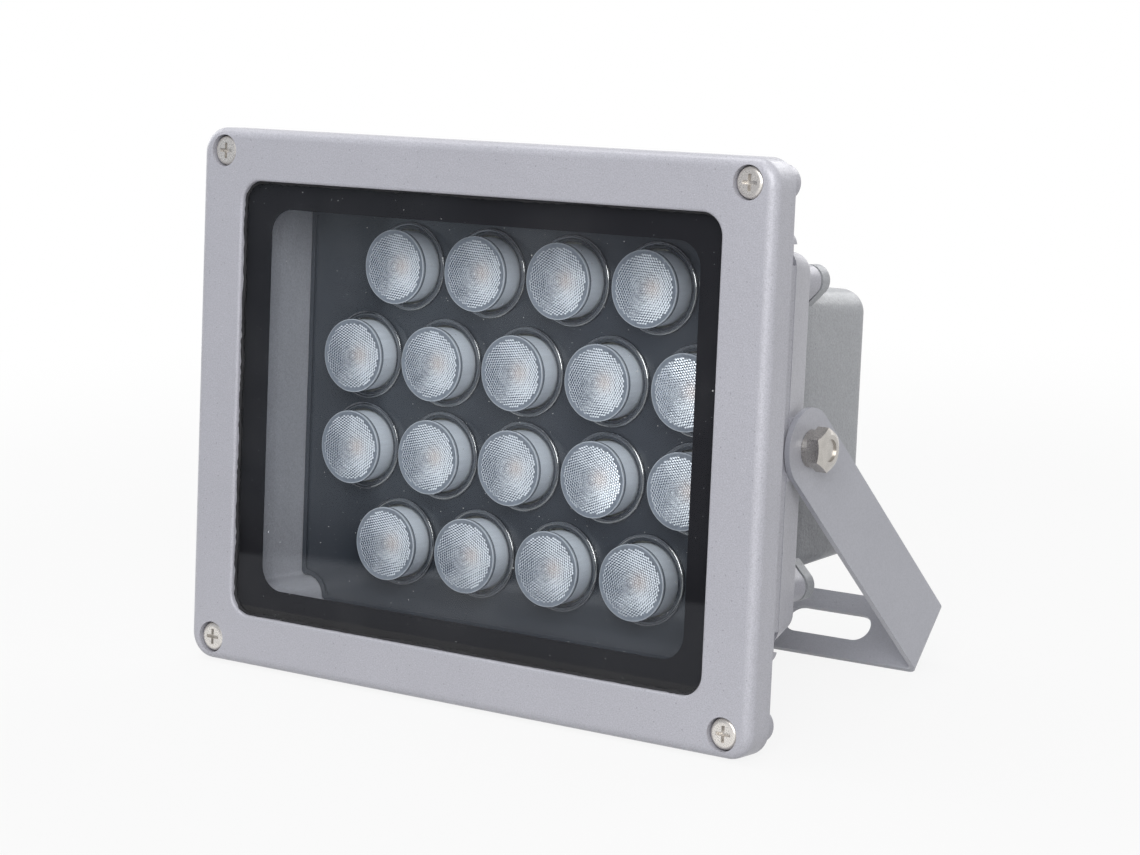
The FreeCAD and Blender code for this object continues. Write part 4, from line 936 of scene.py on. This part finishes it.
class FLOOD_OT_stage(bpy.types.Operator):
    """Sets up the floor, the lamps, the world and the camera"""

    bl_idname = "flood_light.stage"
    bl_label = "Stage"

    def execute(self, context):
        settings = context.scene.flood_stage
        context.scene.view_settings.view_transform = "Standard"
        self.floor(settings)
        self.world(context.scene, settings.sky)
        for name, place, size, power in LAMPS:
            self.lamp(context, name, place, size, power)
        self.flag()
        self.camera(context.scene, settings.lens)
        return {"FINISHED"}

    def seen(self, start):
        """1 for rays of the camera, of reflections and of clear glass."""
        ways = ("Is Camera Ray", "Is Glossy Ray", "Is Transmission Ray")
        camera, glossy, clear = (start.node("ShaderNodeLightPath", out=way) for way in ways)
        return start.maths("MAXIMUM", start.maths("MAXIMUM", camera, glossy), clear)

    def floor(self, settings):
        """A flat floor under the bezel's lower rear edge and the bracket's lower rear edge: the
        height grows evenly with y. It shows white with a faint shadow near the lamp, lights the
        lamp as a matt floor does, and is clear from below."""
        slope = (FLOOR_REAR[1] - FLOOR_FRONT[1]) / (FLOOR_REAR[0] - FLOOR_FRONT[0])
        steps = np.linspace(-0.5, 0.5, 9) * settings.floor_size
        x, y = np.meshgrid(steps, steps, indexing="ij")
        z = FLOOR_FRONT[1] + slope * (y - FLOOR_FRONT[0]) - FLOOR_GAP
        finish = Finish("floor_pale")
        pale = finish.noise(0.004).tinted((0.5, 0.5, 0.5), (0.56, 0.56, 0.56))
        matt = finish.start.node("ShaderNodeBsdfDiffuse", None, {0: pale})
        white = finish.start.node("ShaderNodeEmission", None, {0: WHITE, 1: 1.0})
        far = finish.start.node(
            "ShaderNodeVectorMath", {"operation": "LENGTH"}, {0: finish.place}, out="Value"
        )
        near = 1.0 - far.step(*(distance / MM for distance in FLOOR_FADE))
        share_white = self.seen(finish.start) * (1.0 - near * settings.shade)
        above = finish.start.node("ShaderNodeMixShader", None, {0: share_white, 1: matt, 2: white})
        under = finish.start.node("ShaderNodeNewGeometry", out="Backfacing")
        clear = finish.start.node("ShaderNodeBsdfTransparent")
        whole = finish.start.node("ShaderNodeMixShader", None, {0: under, 1: above, 2: clear})
        finish.shown(whole)
        points = np.stack([x, y, z], axis=-1).reshape(-1, 3)
        piece("floor", points, sheet_faces(*x.shape), finish, closed=False)

    def world(self, scene, sky):
        """A plain pale world that shows white to the camera and in reflections."""
        scene.world = bpy.data.worlds.new("studio")
        scene.world.use_nodes = True
        tree = scene.world.node_tree
        start = Wire(tree)
        light = self.seen(start) * (1.0 - sky) + sky
        ground = tree.nodes["Background"]
        ground.inputs["Color"].default_value = WHITE
        tree.links.new(light.socket, ground.inputs["Strength"])

    def lamp(self, context, name, place, size, power):
        """A soft square lamp that looks at the middle of the object."""
        data = bpy.data.lights.new(name, "AREA")
        data.size, data.energy = size, power
        made = bpy.data.objects.new(name, data)
        made.location = place
        aim = Vector(LAMP_AIM) - made.location
        made.rotation_euler = aim.to_track_quat("-Z", "Y").to_euler()
        context.scene.collection.objects.link(made)

    def flag(self):
        """A card in front of the lamp that only reflections show. From below: a light grey, a
        black line, and a dark grey that is a little lighter on the left."""
        finish = Finish("flag_grey")
        left = 1.0 - finish.along("X").step(*(place / MM for place in CARD_TURN))
        level = finish.along("Z") - finish.along("X") * CARD_CLIMB
        upper = left.tinted((0.26, 0.27, 0.31), (0.35, 0.38, 0.43))
        black = level.step(*(place / MM for place in CARD_DARK)).tinted((0.03, 0.03, 0.035), upper)
        above = level.step(*(place / MM for place in CARD_BLACK))
        tone = above.tinted((0.6, 0.62, 0.67), black)
        glow = finish.start.node("ShaderNodeEmission", None, {0: tone, 1: 1.0})
        finish.shown(glow)
        x, z = np.meshgrid(np.linspace(*CARD_X, 7), np.linspace(*CARD_Z, 7), indexing="ij")
        points = np.stack([x, np.full_like(x, CARD_Y), z], axis=-1).reshape(-1, 3)
        card = piece("flag", points, sheet_faces(*x.shape), finish, closed=False)
        card.visible_camera = card.visible_diffuse = card.visible_shadow = False

    def camera(self, scene, lens):
        """The camera where the photograph was taken from, turned as it was."""
        right = Vector(CAMERA_RIGHT).normalized()
        ahead = Vector(CAMERA_AHEAD).normalized()
        up = right.cross(ahead).normalized()
        turn = Matrix((right, up, -ahead)).transposed().to_4x4()
        data = bpy.data.cameras.new("camera")
        data.lens, data.sensor_width, data.sensor_fit = lens, 36.0, "HORIZONTAL"
        data.clip_start, data.clip_end = 0.01, 50.0
        made = bpy.data.objects.new("camera", data)
        made.matrix_world = Matrix.Translation(CAMERA_PLACE) @ turn
        scene.collection.objects.link(made)
        scene.camera = made


# ---------------------------------------------------------------- panel and registration

OPERATORS = (
    FLOOD_OT_castings,
    FLOOD_OT_driver_box,
    FLOOD_OT_bracket,
    FLOOD_OT_hardware,
    FLOOD_OT_glass,
    FLOOD_OT_sealant,
    FLOOD_OT_lenses,
    FLOOD_OT_plate,
    FLOOD_OT_boards,
    FLOOD_OT_seals,
    FLOOD_OT_stage,
)
SETTINGS = {
    "flood_paint": FloodPaintSettings,
    "flood_glass": FloodGlassSettings,
    "flood_lens": FloodLensSettings,
    "flood_stage": FloodStageSettings,
}


class FLOOD_PT_finishes(bpy.types.Panel):
    """Lists the settings and the operators of the flood light"""

    bl_label = "Flood Light"
    bl_space_type = "VIEW_3D"
    bl_region_type = "UI"
    bl_category = "Flood Light"

    def draw(self, context):
        for name, group in SETTINGS.items():
            box = self.layout.box()
            for field in group.__annotations__:
                box.prop(getattr(context.scene, name), field)
        for operator in OPERATORS:
            self.layout.operator(operator.bl_idname)


def register():
    """Registers the classes and hangs the settings on the scene."""
    for made in (*SETTINGS.values(), *OPERATORS, FLOOD_PT_finishes):
        bpy.utils.register_class(made)
    for name, group in SETTINGS.items():
        setattr(bpy.types.Scene, name, bpy.props.PointerProperty(type=group))


def unregister():
    """Takes back what register did."""
    for name in SETTINGS:
        delattr(bpy.types.Scene, name)
    for made in reversed((*SETTINGS.values(), *OPERATORS, FLOOD_PT_finishes)):
        bpy.utils.unregister_class(made)


def main():
    """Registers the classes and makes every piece."""
    register()
    for operator in OPERATORS:
        group, name = operator.bl_idname.split(".")
        if getattr(getattr(bpy.ops, group), name)() != {"FINISHED"}:
            raise RuntimeError(f"{operator.bl_label} could not finish")


if __name__ == "__main__":
    main()
